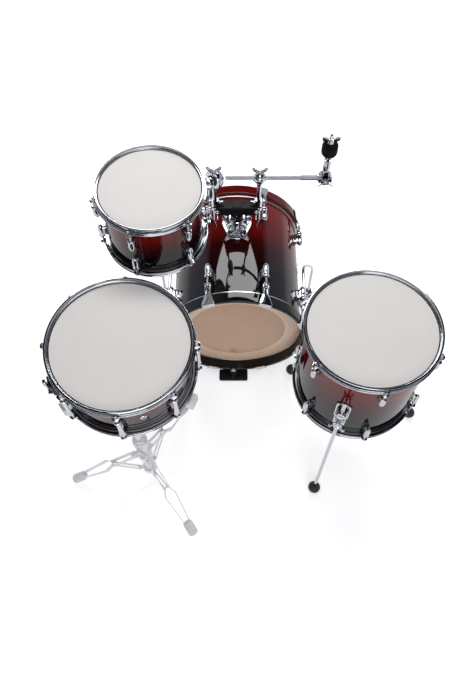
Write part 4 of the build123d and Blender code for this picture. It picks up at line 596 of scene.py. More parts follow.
# Bass drum claws, rods and lugs: cast claws hook over the wooden hoops and key screws pull them
# towards the lugs. All are chrome plated.
CLAW_TOP = 221.2
flat_out = Matrix(((0, 0, 1, 0), (0, 1, 0, 0), (1, 0, 0, 0), (0, 0, 0, 1)))
on_edge = Matrix(((0, 1, 0, 0), (0, 0, 1, 0), (1, 0, 0, 0), (0, 0, 0, 1)))
back = rounded([
    (36.7, -20), (36.7, 20), (30, 20), (-4, 8.5), (-20, 7), (-33, 9.5), (-33, -9.5), (-20, -7), (-4, -8.5),
    (30, -20),
], 4, 4)
lip = rounded(mirrored([(204.6, -15), (208, -20), (CLAW_TOP, -20)]), 3)
fin = rounded([(8, 219), (-33, 219), (-33, 227), (-14, 226)], 3)
claw = [(plate(back, HOOP_OUTSIDE + 0.2, CLAW_TOP, 1.2), flat_out), (plate(lip, 33.6, 36.8, 1.1), Matrix())]
claw.append((plate(rounded(oblong(214.8, -9.5, 231, 9.5), 4, 4), -34.2, -31, 1.0), Matrix()))
claw += [(plate(fin, side, side + 3, 1.0), on_edge) for side in (6.4, -9.4)]
round_drum(BASS_DRUM, "claw_castings", claw, chrome, "bd_claws")
at_rod = at(225.7, 0, 0)
screw = [(0, -81)] + threaded(3.2, -81, -36) + [
    (3.2, -31), (5.3, -31), (5.6, -30), (5.6, -25), (4.6, -23.2), (0, -23),
]
screws = [(turned(screw, 20), at_rod), (key_head(-23.4, -15), at_rod)]
round_drum(BASS_DRUM, "key_screws", screws, chrome, "bd_tension_rods")
barrel = turned([
    (3.5, -62), (3.5, -55.6), (4.2, -55), (7.6, -55), (9.2, -56), (9.6, -58.5), (9.6, -64), (8.0, -67),
    (7.8, -70), (8.6, -76), (9.0, -84), (9.0, -96), (8.0, -101.5), (5.2, -105.6), (2.2, -106.8), (0, -107),
    (0, -90),
], 32)
foot = rounded(oblong(60, -7.5, 98, 7.5), 7, 5)
lug = [(barrel, at_rod), (plate(foot, 202.8, 221, 1.6), outward)]
round_drum(BASS_DRUM, "lug_castings", lug, chrome, "bd_lugs")
gasket = plate([(79 + (x - 79) * 1.08, y * 1.2) for x, y in foot], 202.8, 204.4, 0.5, 2)
round_drum(BASS_DRUM, "lug_gaskets", [(gasket, outward)], rubber)


# Spur brackets: zinc castings bolted to the sides of the bass drum on a black gasket, chrome plated.
# A wing bolt on top of each clamps the spur that runs through it.
def facing(spot, way):
    """Place at a spot, with Z along a way and X level."""
    up = Vector(way).normalized()
    side = Vector((0, 0, 1)).cross(up)
    side = side.normalized() if side.length > 0.01 else Vector((1, 0, 0))
    place = Matrix((side, up.cross(side), up)).transposed().to_4x4()
    place.translation = spot
    return place


def wing_bolt(place):
    """Bolt with two cast wings, whose hub stands on the place's z = 0."""
    hub = turned([
        (0, -3), (3.5, -3), (3.5, 0), (7.4, 0), (7.7, 0.5), (7.4, 1.2), (5.7, 1.4), (6.2, 2.2), (6.2, 6.4),
        (5.4, 8.8), (3.2, 10.2), (0, 10.6),
    ], 24)
    wing = rounded([(3, 1), (12, 3), (21, 11), (22.6, 19), (17.5, 22), (11, 14), (3, 9)], 4, 4)
    wing = plate(wing, -2.4, 2.4, 1.8, 3)
    return [(hub, place, 0)] + [(wing, place @ side @ raised_y, 0) for side in (other_side, Matrix())]


def shifted(parts, *places):
    """Copies of the parts that go to each of the places."""
    return [(shape, place @ spot, finish) for place in places for shape, spot, finish in parts]


other_side = Matrix.Scale(-1, 4, (1, 0, 0))
# outlines drawn in the XZ plane and raised along Y, or drawn in the YZ plane and raised along X
raised_y = Matrix(((1, 0, 0, 0), (0, 0, 1, 0), (0, 1, 0, 0), (0, 0, 0, 1)))
raised_x = Matrix(((0, 0, 1, 0), (1, 0, 0, 0), (0, 1, 0, 0), (0, 0, 0, 1)))
SPUR_X, SPUR_Y, SPUR_Z = 225.0, 161, 262.5
casting = plate(rounded([
    (201.4, 246), (214, 246), (231, 250), (236, 256), (236, 269), (231, 275), (214, 279), (201.4, 279),
], 5, 4), SPUR_Y - 21, SPUR_Y + 21, 3.2, 4)
boss = turned([(0, 264), (10, 264), (10, 277.6), (8.8, 279.4), (0, 279.5)], 28)
bush = turned([(5.1, -2), (8.4, -2), (8.4, 0.8), (7.6, 1.8), (5.7, 2), (5.1, 1.4)], 24)
pad = plate(rounded(oblong(136, 243.4, 186, 281.6), 8, 4), 200.4, 204, 0.6, 2)
bracket = [(casting, raised_y, 0), (boss, at(SPUR_X, SPUR_Y, 0), 0), (pad, raised_x, 1)]
bracket += [(bush, facing((SPUR_X, SPUR_Y + way * 21, SPUR_Z), (0, way, 0)), 0) for way in (-1, 1)]
bracket += wing_bolt(facing((SPUR_X, SPUR_Y, 279.5), (0, 0, 1)))
both = shifted(bracket, Matrix(), other_side)
build("spur_bracket_castings", both, [chrome, rubber], "bass_drum", "chrome", "bd_spur_brackets")


# Spurs: chromed steel rods that run along the drum, bend out and go down to a ribbed rubber foot.
# They turn in their brackets, so that the feet fold up beside the shell.
def rod(path, radius, bend=0.0, sides=16):
    """Round bar along a path, bent at its corners, with broken edges at its ends."""
    path = [Vector(p) for p in path]
    line = [path[0], path[0] + (path[1] - path[0]).normalized() * radius * 0.2]
    for a, b, c in zip(path, path[1:], path[2:]):
        into, out = (b - a).normalized(), (c - b).normalized()
        turn = into.angle(out)
        inward = (out - into * into.dot(out)).normalized()
        steps = max(2, round(turn / radians(6)))
        for k in range(steps + 1):
            t = turn * k / steps
            line.append(b - into * bend * tan(turn / 2) + into * bend * sin(t) + inward * bend * (1 - cos(t)))
    line += [path[-1] + (path[-2] - path[-1]).normalized() * radius * 0.2, path[-1]]
    shape = {"points": [], "faces": [], "maps": []}
    side = (line[1] - line[0]).orthogonal().normalized()
    run = 0
    runs = []
    for k, spot in enumerate(line):
        before, after = line[max(k - 1, 0)], line[min(k + 1, len(line) - 1)]
        way = (after - before).normalized()
        side = (side - way * side.dot(way)).normalized()
        up = way.cross(side)
        reach = radius * (0.8 if k in (0, len(line) - 1) else 1)
        for j in range(sides):
            a = 2 * pi * j / sides
            shape["points"].append(spot + side * reach * cos(a) + up * reach * sin(a))
        run += (spot - before).length / 1000
        runs.append(run)
    round_run = 2 * pi * radius / 1000 / sides
    for k in range(len(line) - 1):
        for j in range(sides):
            n = (j + 1) % sides
            lower, upper = k * sides, (k + 1) * sides
            shape["faces"].append([lower + j, lower + n, upper + n, upper + j])
            corners = ((j, k), (j + 1, k), (j + 1, k + 1), (j, k + 1))
            shape["maps"].append([(side * round_run, runs[row]) for side, row in corners])
    for first in (0, (len(line) - 1) * sides):
        shape["faces"].append(list(range(first, first + sides)))
        shape["maps"].append([(0.0, 0.0)] * sides)
    shape["marks"] = [0] * len(shape["faces"])
    return shape


SPUR_FOOT = (270, 350)
bent_spur = rod([(SPUR_X, 136, SPUR_Z), (SPUR_X, 300, SPUR_Z), (268, 335, 200), (*SPUR_FOOT, 14)], 5, 60)
foot = turned([
    (0, 0), (14.2, 0), (15.9, 1.7), (16, 5), (14.4, 8), (15, 9.4), (14.8, 12), (13.2, 15), (13.8, 16.4),
    (13.6, 19), (12.2, 22), (12.7, 23.4), (12.4, 26), (11, 30), (10.6, 36), (9.4, 39.4), (5.2, 40), (0, 40),
], 32)
for name, side in (("right", Matrix()), ("left", other_side)):
    spur = [(bent_spur, side, 0), (foot, side @ at(*SPUR_FOOT, 0), 1)]
    build(f"spur_{name}_rod", spur, [chrome, rubber], f"{name}_spur", "chrome", f"spur_{name}")


# Riser: a steel foot under the batter hoop, powder coated black, on a rubber sole. Its jaw hooks round
# the hoop and a knurled screw pulls it tight, so the hoop stands clear of the floor.
powder, tree, surface = finish_named("satin black powder coat on steel")
# the coat's orange peel is about 1 mm across
bump = add(tree, "ShaderNodeBump", {"Height": speckle(tree, 0.001, 1.0), "Strength": 0.2, "Distance": 0.0002})
tone = blend(tree, speckle(tree, 0.03, 4.0), "#0b0b0c", "#1b1b1d")
add(tree, surface, {"Base Color": tone, "Normal": bump, "Roughness": 0.45, "Specular IOR Level": 0.15})

sole = plate(rounded(oblong(-61, -14, 37, 26), 6, 4), 0, 3.4, 0.8, 2)
foot_plate = plate(rounded(oblong(-62, -15, 38, 27), 6, 4), 3, 12, 1.6)
jaw = plate(rounded([
    (0.5, 10), (27, 10), (27, 44), (6.7, 44.3), (6.7, 56.6), (21, 56.6), (21, 68), (0.5, 68),
], 3, 3), -24, 0, 1.2)
gusset = plate(rounded([(-14, 11), (1, 11), (1, 46)], 3, 3), -15, -9, 1)
knob = turned([
    (0, -4), (3, -4), (3, 0), (6.6, 0.2), (7, 0.8), (7, 4.8), (6.2, 5.8), (2.8, 6), (2.4, 5), (0, 4.8),
], 18)
riser = [(sole, Matrix(), 2), (foot_plate, Matrix(), 0), (jaw, raised_x, 0), (gusset, raised_x, 0)]
riser.append((knob, facing((-12, 0.6, 62), (0, -1, 0)), 1))
build("riser_foot", riser, [powder, chrome, rubber], "bass_drum", "black_steel", "bd_riser")


# Tom holder's base: a chromed casting screwed to the top of the bass drum. Its tower guides the post,
# and the wing bolt in front clamps it.
HOLDER_Y, BOLT_Z = 292, 481.2
HOLDER = at(0, HOLDER_Y, 0)
shield = plate(rounded([
    (-36, 52), (36, 52), (47, 38), (46, 6), (31, -30), (15, -52), (-15, -52), (-31, -30), (-46, 6),
    (-47, 38),
], 11, 5), 459.6, 472.7, 2.8, 4)
tower = turned([
    (11.1, 470), (35, 470), (34.4, 474), (30, 481), (26, 491), (24, 502), (23.2, 508), (24.6, 510),
    (24.8, 512.6), (23.4, 514.7), (11.1, 514.7),
], 56)
boss = turned([(0, 466), (11, 466), (11, 484), (10.2, 489), (7.4, 493.4), (3.4, 495.4), (0, 495.8)], 32)
nose = turned([(0, 0), (12, 0), (11.4, 14), (9.6, 30), (9.6, 36), (8.6, 37), (0, 37)], 32)
screw_head = turned([(0, -1), (4.4, -1), (4.4, 0.8), (3.4, 2.2), (1.4, 2.8), (1.2, 1.4), (0, 1.4)], 18)
base = [(shape, HOLDER, 0) for shape in (shield, tower)]
base += [(boss, HOLDER @ at(x, -22, 0), 0) for x in (-19, 19)]
base.append((nose, facing((0, HOLDER_Y, BOLT_Z), (0, -1, 0)), 0))
corners = ((-35, 36), (35, 36), (-36, 8), (36, 8))
base += [(screw_head, HOLDER @ at(x, y, 472.7), 0) for x, y in corners]
base += wing_bolt(facing((0, HOLDER_Y - 37, BOLT_Z), (0, -1, 0)))
build("holder_base_casting", base, [chrome], "bass_drum", "chrome", "tom_holder_base")


# Post, crossbar and straps: a chromed tube with a memory lock carries a black steel crossbar.
# Straps with key screws pull an arm tube into the groove at each of its ends.
def lock_collar(inner, outer, low, high, spot, way):
    """Memory lock round a tube: a split collar with an ear and a square-headed screw along the way."""
    collar = turned([
        (inner, low), (outer - 1, low), (outer, low + 1), (outer, high - 1), (outer - 1, high),
        (inner, high),
    ], 32)
    middle = (low + high) / 2
    stem = turned([(0, -2), (4.8, -2), (5, -1), (5, 3), (4.2, 3.6), (3.4, 3.8), (3.4, 6), (0, 6)], 20)
    head = key_head(5, 12)
    out = facing(Vector((spot[0], spot[1], middle)) + Vector(way).normalized() * outer, way)
    return [(collar, at(spot[0], spot[1], 0), 0), (stem, out, 0), (head, out, 0)]


post = turned([(0, 403.7), (10, 403.7), (11, 404.7), (11, 569), (10.2, 570), (0, 570)], 40)
post_parts = [(post, HOLDER, 0)] + lock_collar(11, 20, 515, 528, (0, HOLDER_Y), (0.6, 0.8, 0))
build("holder_post_tube", post_parts, [chrome], "tom_holder", "chrome", "holder_post")

ARM_SPREAD = 64.5
groove = [(ARM_SPREAD - 6.65 * cos(radians(a)), 6.65 * sin(radians(a))) for a in range(-77, 78, 14)]
outline = [(63, -17)] + groove + [(63, 17), (-63, 17)] + [(-x, -y) for x, y in groove] + [(-63, -17)]
crossbar = plate(rounded(outline, 3, 3), 540, 570, 2.4, 4)
cap = turned([(0, 568), (15.4, 568), (15.4, 570.6), (14.4, 571.6), (12, 571.8), (0, 571)], 36)
bar_parts = [(crossbar, HOLDER, 0), (cap, HOLDER, 0)]
build("holder_crossbar_steel", bar_parts, [powder], "tom_holder", "black_steel", "holder_crossbar")

strap = turned([(6.4, 549), (9.4, 549), (10, 549.8), (10, 560.2), (9.4, 561), (6.4, 561)], 32)
stem = turned([(0, -2), (6.4, -2), (6.6, -1), (6.6, 2.4), (5.4, 3.4), (3.6, 3.6), (0, 3.6)], 22)
straps = []
for side in (-1, 1):
    straps.append((strap, at(side * ARM_SPREAD, HOLDER_Y, 0), 0))
    front = facing((side * 58, HOLDER_Y - 17, 555), (0, -1, 0))
    straps += [(shape, front, 0) for shape in (stem, key_head(3, 10.4))]
build("holder_strap_rings", straps, [chrome], "tom_holder", "chrome", "holder_strap_bolts")


# Arms of the holder: chromed tubes with memory locks. The left one ends in a split socket that grips the
# ball of the rack tom's rod, the right one in a drilled ball that the cymbal boom slides through.
def arm_parts(side, top):
    """Tube with its lock above the crossbar, and its flare under what it carries."""
    spot = (side * ARM_SPREAD, HOLDER_Y)
    tube = turned([
        (0, 503), (5.2, 503), (6.35, 504), (6.35, top - 16), (7.2, top - 15), (7.6, top - 10), (10.5, top),
        (0, top + 3),
    ], 28)
    return [(tube, at(*spot, 0), 0)] + lock_collar(6.35, 11.5, 570.4, 590.3, spot, (-side, 0, 0))


def sphere_arc(radius, start, end, steps):
    """Points of a ball's outline between two latitudes in degrees."""
    turns = [radians(start + (end - start) * k / steps) for k in range(steps + 1)]
    return [(radius * cos(a), radius * sin(a)) for a in turns]


ball = Vector((-ARM_SPREAD, HOLDER_Y, 672))
TOM_MOUNT, TOM_ROD = TOM @ spun(47), 165
elbow, rod_top = (TOM_MOUNT @ Vector((TOM_ROD, 0, z)) for z in (-150, -37))
way_out = (elbow - ball).normalized()
outside = [(0, -28.8)] + sphere_arc(28.8, -84, 10, 14) + [(27.9, 6.8), (26.4, 8.4), (18, 8.6), (16.6, 8)]
socket = turned(outside + sphere_arc(18.3, 25, -84, 12) + [(0, -18.3)], 40)
split = turned([(28.5, -1.2), (29.9, -0.8), (29.9, 0.8), (28.5, 1.2)], 40)
left = arm_parts(-1, 648) + [(socket, facing(ball, way_out), 0), (split, facing(ball, (1, 0, 0.12)), 0)]
left += wing_bolt(facing(ball + Vector((0, 0, 27.9)), (0, 0, 1)))
build("tom_arm_tube", left, [chrome], "tom_arm", "chrome", "tom_arm")

BOOM_Z = 678
boom_ball = Vector((ARM_SPREAD, HOLDER_Y, BOOM_Z))
drilled = turned([(5.6, -17.4), (8.4, -17.6)] + sphere_arc(18, -60, 60, 14) + [(8.4, 17.6), (5.6, 17.4)], 36)
right = arm_parts(1, 664) + [(drilled, facing(boom_ball, (1, 0, 0)), 0)]
right += [(bush, facing(boom_ball + Vector((side * 17.4, 0, 0)), (side, 0, 0)), 0) for side in (-1, 1)]
right += wing_bolt(facing(boom_ball + Vector((0, 0, 17.8)), (0, 0, 1)))
build("cymbal_arm_tube", right, [chrome], "cymbal_arm", "chrome", "cymbal_arm")


# Rack tom's rod and mount: a black ball on a bent chromed rod, which goes up through a clamp block.
# The block's plate is screwed to the shell on a gasket, and a wing bolt grips the rod.
ball_shape = turned([(0, -18)] + sphere_arc(18, -82, 82, 18) + [(0, 18)], 36)
bent_rod = [(rod([ball, elbow, rod_top], 5, 18), Matrix(), 0), (ball_shape, facing(ball, way_out), 1)]
build("tom_rod_bent", bent_rod, [chrome, rubber], "rack_tom", "chrome", "tom_l_rod")

at_mount = TOM_MOUNT @ outward
back_plate = plate(rounded(mirrored([(70, -15), (82, -23), (132, -23), (144, -15)]), 9, 4), 124.6, 131, 1.6)
pad = plate(rounded(mirrored([(68, -16), (81, -25), (133, -25), (146, -16)]), 9, 4), 123, 127.8, 0.5, 2)
block = plate(rounded(mirrored([(82, -12), (88, -15), (126, -15), (132, -12)]), 5, 4), 129, 177, 4, 4)
mount = [(back_plate, at_mount, 0), (block, at_mount, 0), (pad, at_mount, 1)]
mount += [(screw_head, at_mount @ at(x, 0, 131), 0) for x in (76, 138)]
mount += [(bush, TOM_MOUNT @ facing((TOM_ROD, 0, z), (0, 0, way)), 0) for z, way in ((-82, 1), (-132, -1))]
mount += wing_bolt(TOM_MOUNT @ facing((177, 0, -107), (1, 0, 0)))
build("tom_mount_casting", mount, [chrome, rubber], "rack_tom", "chrome", "tom_mount")


# Cymbal boom: a chromed rod with a sleeve, ending in the fixed half of the tilter.
# A wing bolt presses the tilter's two discs together. The rod is satin, so that its clamp grips it.
satin, tree, surface = finish_named("satin chrome plate on a steel rod")
place = add(tree, "ShaderNodeTexCoord").outputs["Object"]
# grinding marks lie round the rod, some 0.5 mm apart
marks = add(tree, "ShaderNodeMapping", {"Vector": place, "Scale": (1 / 0.0005, 1 / 0.02, 1 / 0.02)})
marks = add(tree, "ShaderNodeTexNoise", {"Vector": marks, "Scale": 1.0, "Detail": 2.0})
tone = blend(tree, marks, "#74777c", "#8e9196")
add(tree, surface, {"Base Color": tone, "Metallic": 1.0, "Roughness": 0.3})

tilt = Vector((248, HOLDER_Y, BOOM_Z))
disc = turned([
    (0, 0), (18.4, 0), (20, 1.2), (20, 9.4), (18.2, 11), (9, 11.2), (8.6, 14), (7, 15), (0, 15),
], 40)
sleeve = turned([
    (0, 0), (6.2, 0), (7, 0.8), (7, 4), (6.5, 4.6), (6.5, 5.8), (7, 6.4), (7, 46), (7.8, 47), (7.8, 51),
    (7, 52), (0, 52),
], 28)
link = rounded([(224, 671.4), (240, 668), (252, 668), (252, 688), (240, 688), (224, 684.6)], 4, 4)
link = plate(link, HOLDER_Y + 0.6, HOLDER_Y + 9, 1.6)
boom = [(rod([(-32, HOLDER_Y, BOOM_Z), (185, HOLDER_Y, BOOM_Z)], 5.5, 0, 24), Matrix(), 1)]
boom += [(sleeve, facing((180, HOLDER_Y, BOOM_Z), (1, 0, 0)), 1), (link, raised_y, 0)]
boom.append((disc, facing(tilt + Vector((0, 0.3, 0)), (0, 1, 0)), 0))
boom.append((rod([tilt + Vector((0, 1, 0)), tilt - Vector((0, 12, 0))], 4), Matrix(), 0))
boom += wing_bolt(facing(tilt - Vector((0, 11.4, 0)), (0, -1, 0)))
build("cymbal_boom_rod", boom, [chrome, satin], "boom", "chrome", "cymbal_boom")


# Cymbal seat: the tilter's moving disc with a socket, the threaded rod in it with a cup washer, and two
# thick wool felts that hold the cymbal. A wing nut closes the stack. The felt's fibres of some 0.1 mm are
# drawn as 0.7 mm tufts so that they show.
felt = speckled("black wool felt", 0.0007, 4.0, "#060606", "#1c1c1d", {
    "Roughness": 0.95, "Specular IOR Level": 0.1, "Sheen Weight": 0.05, "Sheen Roughness": 0.5,
}, (0.7, 0.0006))

seat = Matrix.Translation(tilt)
moving_disc = turned([(4.1, 0), (18.4, 0), (20, 1.2), (20, 9.6), (18.6, 11), (4.1, 11)], 40)
neck = plate(rounded(oblong(240, 676, 256, 711), 2, 2), HOLDER_Y - 11, HOLDER_Y, 1.2)
tube = turned([
    (0, 22), (7.6, 22), (9, 23.2), (10.5, 28), (10.5, 58), (9.8, 60), (9.8, 62), (10.3, 63), (9.6, 66.6),
    (4.2, 67), (0, 67),
], 32)
tilter = [(moving_disc, facing(tilt, (0, -1, 0)), 0), (neck, raised_y, 0), (tube, seat, 0)]
build("cymbal_tilter_casting", tilter, [chrome], "cymbal_seat", "chrome", "cymbal_tilter")
screw = [(0, 60), (4, 60), (4, 80), (13, 81), (14, 82), (14, 86.2), (13.4, 87), (4, 87)]
screwed = turned(screw + threaded(4, 88, 153) + [(3.2, 154), (0, 154)], 28)
build("cymbal_post_rod", [(screwed, seat, 0)], [chrome], "cymbal_seat", "chrome", "cymbal_post")
half_felt = turned([
    (4.2, 0), (21.8, 0), (22, 0.3), (22, 9), (21.3, 13), (19.4, 16.6), (16.4, 19), (12.4, 20), (4.2, 20),
], 56)
felts = [(half_felt, seat @ at(0, 0, 107) @ turn, 0) for turn in (Matrix(), spun(180, "X"))]
build("cymbal_felt_discs", felts, [felt], "cymbal_seat", "felt", "cymbal_felts")
wing = rounded([(4, 136), (14, 137), (23, 142), (25, 148), (23, 154), (18, 155.4), (12, 150), (4, 146)], 4, 4)
hub = turned([(4.1, 127.5), (8.6, 127.5), (9, 128.4), (8, 131), (7.2, 138), (6.2, 140.2), (4.1, 140.3)], 28)
wings = [plate([(side * x, z - 7) for x, z in wing], -2, 2, 1.3) for side in (-1, 1)]
nut = [(hub, seat, 0)] + [(shape, seat @ raised_y, 0) for shape in wings]
build("cymbal_wing_nut_casting", nut, [chrome], "cymbal_nut", "chrome", "cymbal_wing_nut")


# Floor tom's legs: bent chromed rods with a memory lock and a ball foot of black rubber. They slide in
# clamp brackets that are bolted to the shell on gaskets, each with a wing bolt.
LEG_CIRCLE, FOOT_CIRCLE = 190.1, 245.7
upright = at(FLOOR_X, FLOOR_Y, 0)
SPOKES = {name: upright @ spun(angle) for name, angle in (("right", 7.3), ("rear", 127.3), ("front", 247.3))}
# X goes up the drum here, Z out along the spoke
outward_up = Matrix(((0, 0, 1, 0), (0, -1, 0, 0), (1, 0, 0, 0), (0, 0, 0, 1)))
back_plate = plate(rounded(mirrored([(420, -13), (428, -20), (496, -20), (504, -13)]), 8, 4), 163, 169.5, 1.6)
pad = plate(rounded(mirrored([(418, -14), (427, -22), (497, -22), (506, -14)]), 8, 4), 161.6, 166.2, 0.5, 2)
block = plate(rounded(mirrored([(425, -12), (432, -16), (492, -16), (499, -12)]), 6, 4), 168, 201, 4.4, 4)
bracket = [(back_plate, outward_up, 0), (block, outward_up, 0), (pad, outward_up, 1)]
bracket += [(screw_head, facing((169.5, 0, z), (1, 0, 0)), 0) for z in (423.6, 500.4)]
bracket += [(bush, facing((LEG_CIRCLE, 0, z), (0, 0, way)), 0) for z, way in ((426.4, -1), (499, 1))]
bracket += wing_bolt(facing((201, 0, 462), (1, 0, 0)))
brackets = shifted(bracket, *SPOKES.values())
build("ft_leg_bracket_castings", brackets, [chrome, rubber], "floor_tom", "chrome", "ft_leg_brackets")

leg_rod = rod([(LEG_CIRCLE, 0, 560), (LEG_CIRCLE, 0, 310), (FOOT_CIRCLE, 0, 18)], 5.25, 60, 20)
ball_foot = turned([(0, -18)] + sphere_arc(19, -71.3, -8, 8) + [(19.3, -1.6), (19.3, 1.6)]
                   + sphere_arc(19, 8, 66, 8) + [(6.6, 20.4), (5.4, 20.2), (0, 20)], 40)
leg = [(leg_rod, Matrix(), 0), (ball_foot, at(FOOT_CIRCLE, 0, 18), 1)]
leg += lock_collar(5.25, 11, 411.7, 424.7, (LEG_CIRCLE, 0), (0.5, 0.87, 0))
for name, spoke in SPOKES.items():
    parts = shifted(leg, spoke)
    build(f"ft_leg_{name}_rod", parts, [chrome, rubber], f"floor_leg_{name}", "chrome", f"ft_leg_{name}")


# Snare drum's throw-off and butt plate: a black body with a chromed lever that lets the wires drop,
# and chromed strap clamps on both sides of the drum, each with two screws.
THROW_OFF_ANGLE = 202
THROW_OFF = SNARE @ spun(THROW_OFF_ANGLE)
BUTT = SNARE @ spun(THROW_OFF_ANGLE - 180)
body = plate(rounded(mirrored([(62.4, -13), (68, -16), (124, -16)]), 6, 4), 163.6, 191, 2.6, 4)
wheel = turned([
    (0, -63), (5, -63), (5, -61), (7.6, -60.4), (8, -59.6), (8, -53.4), (7.2, -52.4), (3, -52), (0, -52),
], 20)
clamp = plate(rounded(mirrored([(124.4, -22), (127, -24), (138, -24), (140.4, -22)]), 2, 3), 163.6, 186, 1.8)
cheek = rounded([(98, 189), (112, 189), (112, 197), (109, 201), (102, 201), (98, 198)], 3, 4)
cheek = plate(cheek, 8.4, 12.2, 0.8, 2)
other_way = Matrix.Scale(-1, 4, (0, 1, 0))
# outlines of (depth, radius) raised across the spoke
across = Matrix(((0, 1, 0, 0), (0, 0, 1, 0), (-1, 0, 0, 0), (0, 0, 0, 1)))
pin = rod([(197.1, -13.4, -106.4), (197.1, 13.4, -106.4)], 2.5)
throw_off = [(body, outward, 1), (wheel, at(178, 0, 0), 0), (clamp, outward, 0), (pin, Matrix(), 0)]
throw_off += [(cheek, side @ across, 1) for side in (Matrix(), other_way)]
clamp_screws = [(screw_head, outward @ at(132.4, y, 186), 0) for y in (-14, 14)]
throw_off += clamp_screws + [(screw_head, outward @ at(x, 0, 191), 0) for x in (72, 118)]
build("snare_throw_off_body", shifted(throw_off, THROW_OFF), [chrome, powder],
      "snare_drum", "chrome", "snare_throw_off")
butt = shifted([(clamp, outward, 0)] + clamp_screws, BUTT)
build("snare_butt_clamp", butt, [chrome], "snare_drum", "chrome", "snare_butt_plate")
handle = plate(rounded([
    (54.4, -5), (57, -7), (80, -6), (100, -7.8), (107, -6), (111, 0), (107, 6), (100, 7.8), (80, 6), (57, 7),
    (54.4, 5),
], 4, 4), 194.2, 200, 1.6)
grip = plate(rounded(mirrored([(55.4, -4), (58, -5.6), (78, -4.6)]), 3, 4), 199, 201.4, 0.8, 2)
lever = [(handle, THROW_OFF @ outward, 0), (grip, THROW_OFF @ outward, 1)]
build("snare_lever_chromed", lever, [chrome, rubber], "throw_off_lever", "chrome", "snare_lever")


# Snare wires: coiled steel wires soldered to brass end plates. A woven strap at each end goes out
# through the hoop's gate and up into its clamp. The wires lie just below the snare-side head.
steel = speckled("drawn spring steel wire", 0.004, 2.0, "#9c9ea1", "#c6c8ca",
                 {"Metallic": 1.0, "Roughness": 0.24})
# Brass end plate: warm yellow with a dull bloom.
brass = speckled("brass plate", 0.012, 3.0, "#a9863f", "#d0ae62", {"Metallic": 1.0, "Roughness": 0.3})
# Grosgrain strap: a black weave with ribs across it, 0.8 mm apart.
ribbon, tree, surface = finish_named("black grosgrain strap")
place = add(tree, "ShaderNodeTexCoord").outputs["Object"]
turn_back = add(tree, "ShaderNodeMapping", {"Vector": place, "Rotation": (0, 0, -radians(THROW_OFF_ANGLE))})
weave = {"Vector": turn_back, "Scale": 1 / 0.0008 / 6.28, "Distortion": 0.6}
ribs = add(tree, "ShaderNodeTexWave", weave, bands_direction="X")
bump = add(tree, "ShaderNodeBump", {"Height": ribs, "Strength": 0.4, "Distance": 0.0002})
tone = blend(tree, ribs, "#0c0c0d", "#242426")
add(tree, surface, {"Base Color": tone, "Normal": bump, "Roughness": 0.8})

# This tree lays coiled wires side by side. A real coil turns every 1.3 mm, these turn every 2.4 mm so that
# the mesh stays light.
wire_tree, given = node_group("coiled wires side by side", {
    "Count": "Int", "Pitch": "Float", "Length": "Float", "Turns": "Float", "Coil Radius": "Float",
    "Wire Radius": "Float", "Finish": "Material",
})
coil = add(wire_tree, "GeometryNodeCurveSpiral", {
    "Resolution": 7, "Rotations": given["Turns"], "Start Radius": given["Coil Radius"],
    "End Radius": given["Coil Radius"], "Height": given["Length"],
})
section = add(wire_tree, "GeometryNodeCurvePrimitiveCircle",
              {"Resolution": 3, "Radius": given["Wire Radius"]})
wire = add(wire_tree, "GeometryNodeCurveToMesh", {"Curve": coil, "Profile Curve": section, "Fill Caps": True})
step = add(wire_tree, "ShaderNodeCombineXYZ", {"Y": given["Pitch"]})
spots = add(wire_tree, "GeometryNodeMeshLine", {"Count": given["Count"], "Offset": step}, mode="OFFSET")
lying = {"Points": spots, "Instance": wire, "Rotation": (0, pi / 2, 0)}
hand_out(wire_tree, add(wire_tree, "GeometryNodeInstanceOnPoints", lying), given["Finish"])

WIRE_COUNT, WIRE_PITCH, WIRE_LENGTH, WIRE_Z = 20, 2.4, 264.0, -154.0
wires = assemble("snare_wire_coils", [(plate(oblong(-1, -1, 1, 1), 0, 1), Matrix(), 0)], [steel])
made_by_nodes(wires, wire_tree, **{
    "Count": WIRE_COUNT, "Pitch": WIRE_PITCH / 1000, "Length": WIRE_LENGTH / 1000, "Turns": 110.0,
    "Coil Radius": 0.00055, "Wire Radius": 0.00025, "Finish": steel,
})
lay = THROW_OFF @ at(-WIRE_LENGTH / 2, -WIRE_PITCH * (WIRE_COUNT - 1) / 2, WIRE_Z)
fixed(moved(wires, lay), "wires", "wire", "snare_wires")
end_plate = plate(rounded(oblong(116, -25, 132, 25), 3, 3), -155.3, -153.9, 0.4, 2)
level = plate(oblong(120, -19, 182, 19), -156, -155.3, 0.2, 1)
rise = plate(oblong(126.4, -19, 156, 19), 182, 182.7, 0.2, 1)
strap = [(end_plate, Matrix(), 0), (level, Matrix(), 1), (rise, outward, 1)]
ends = shifted(strap, THROW_OFF, BUTT)
build("snare_wire_ends", ends, [brass, ribbon], "wires", "wire", "snare_wires")


# Vent of the snare drum: a chromed grommet round the air hole at the front of the shell.
# Its flange is rolled over on the lacquer.
vent_place = SNARE @ spun(-70) @ facing((165, 0, -74), (1, 0, 0))
vent = turned([(3.8, -0.6), (8.4, -0.6), (8.6, 0.4), (7.6, 1.5), (5.6, 1.9), (4.2, 1.4), (3.8, 0.4)], 32)
# a black rubber disc fills the air hole: painted shade of the dark inside of the drum
hole_shade_disc = turned([(0, -0.5), (4.4, -0.5), (4.4, 0.3), (0, 0.3)], 24)
grommet = assemble("snare_vent_grommet", [(vent, vent_place, 0), (hole_shade_disc, vent_place, 1)], [chrome, rubber])
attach(grommet, "snare_drum")


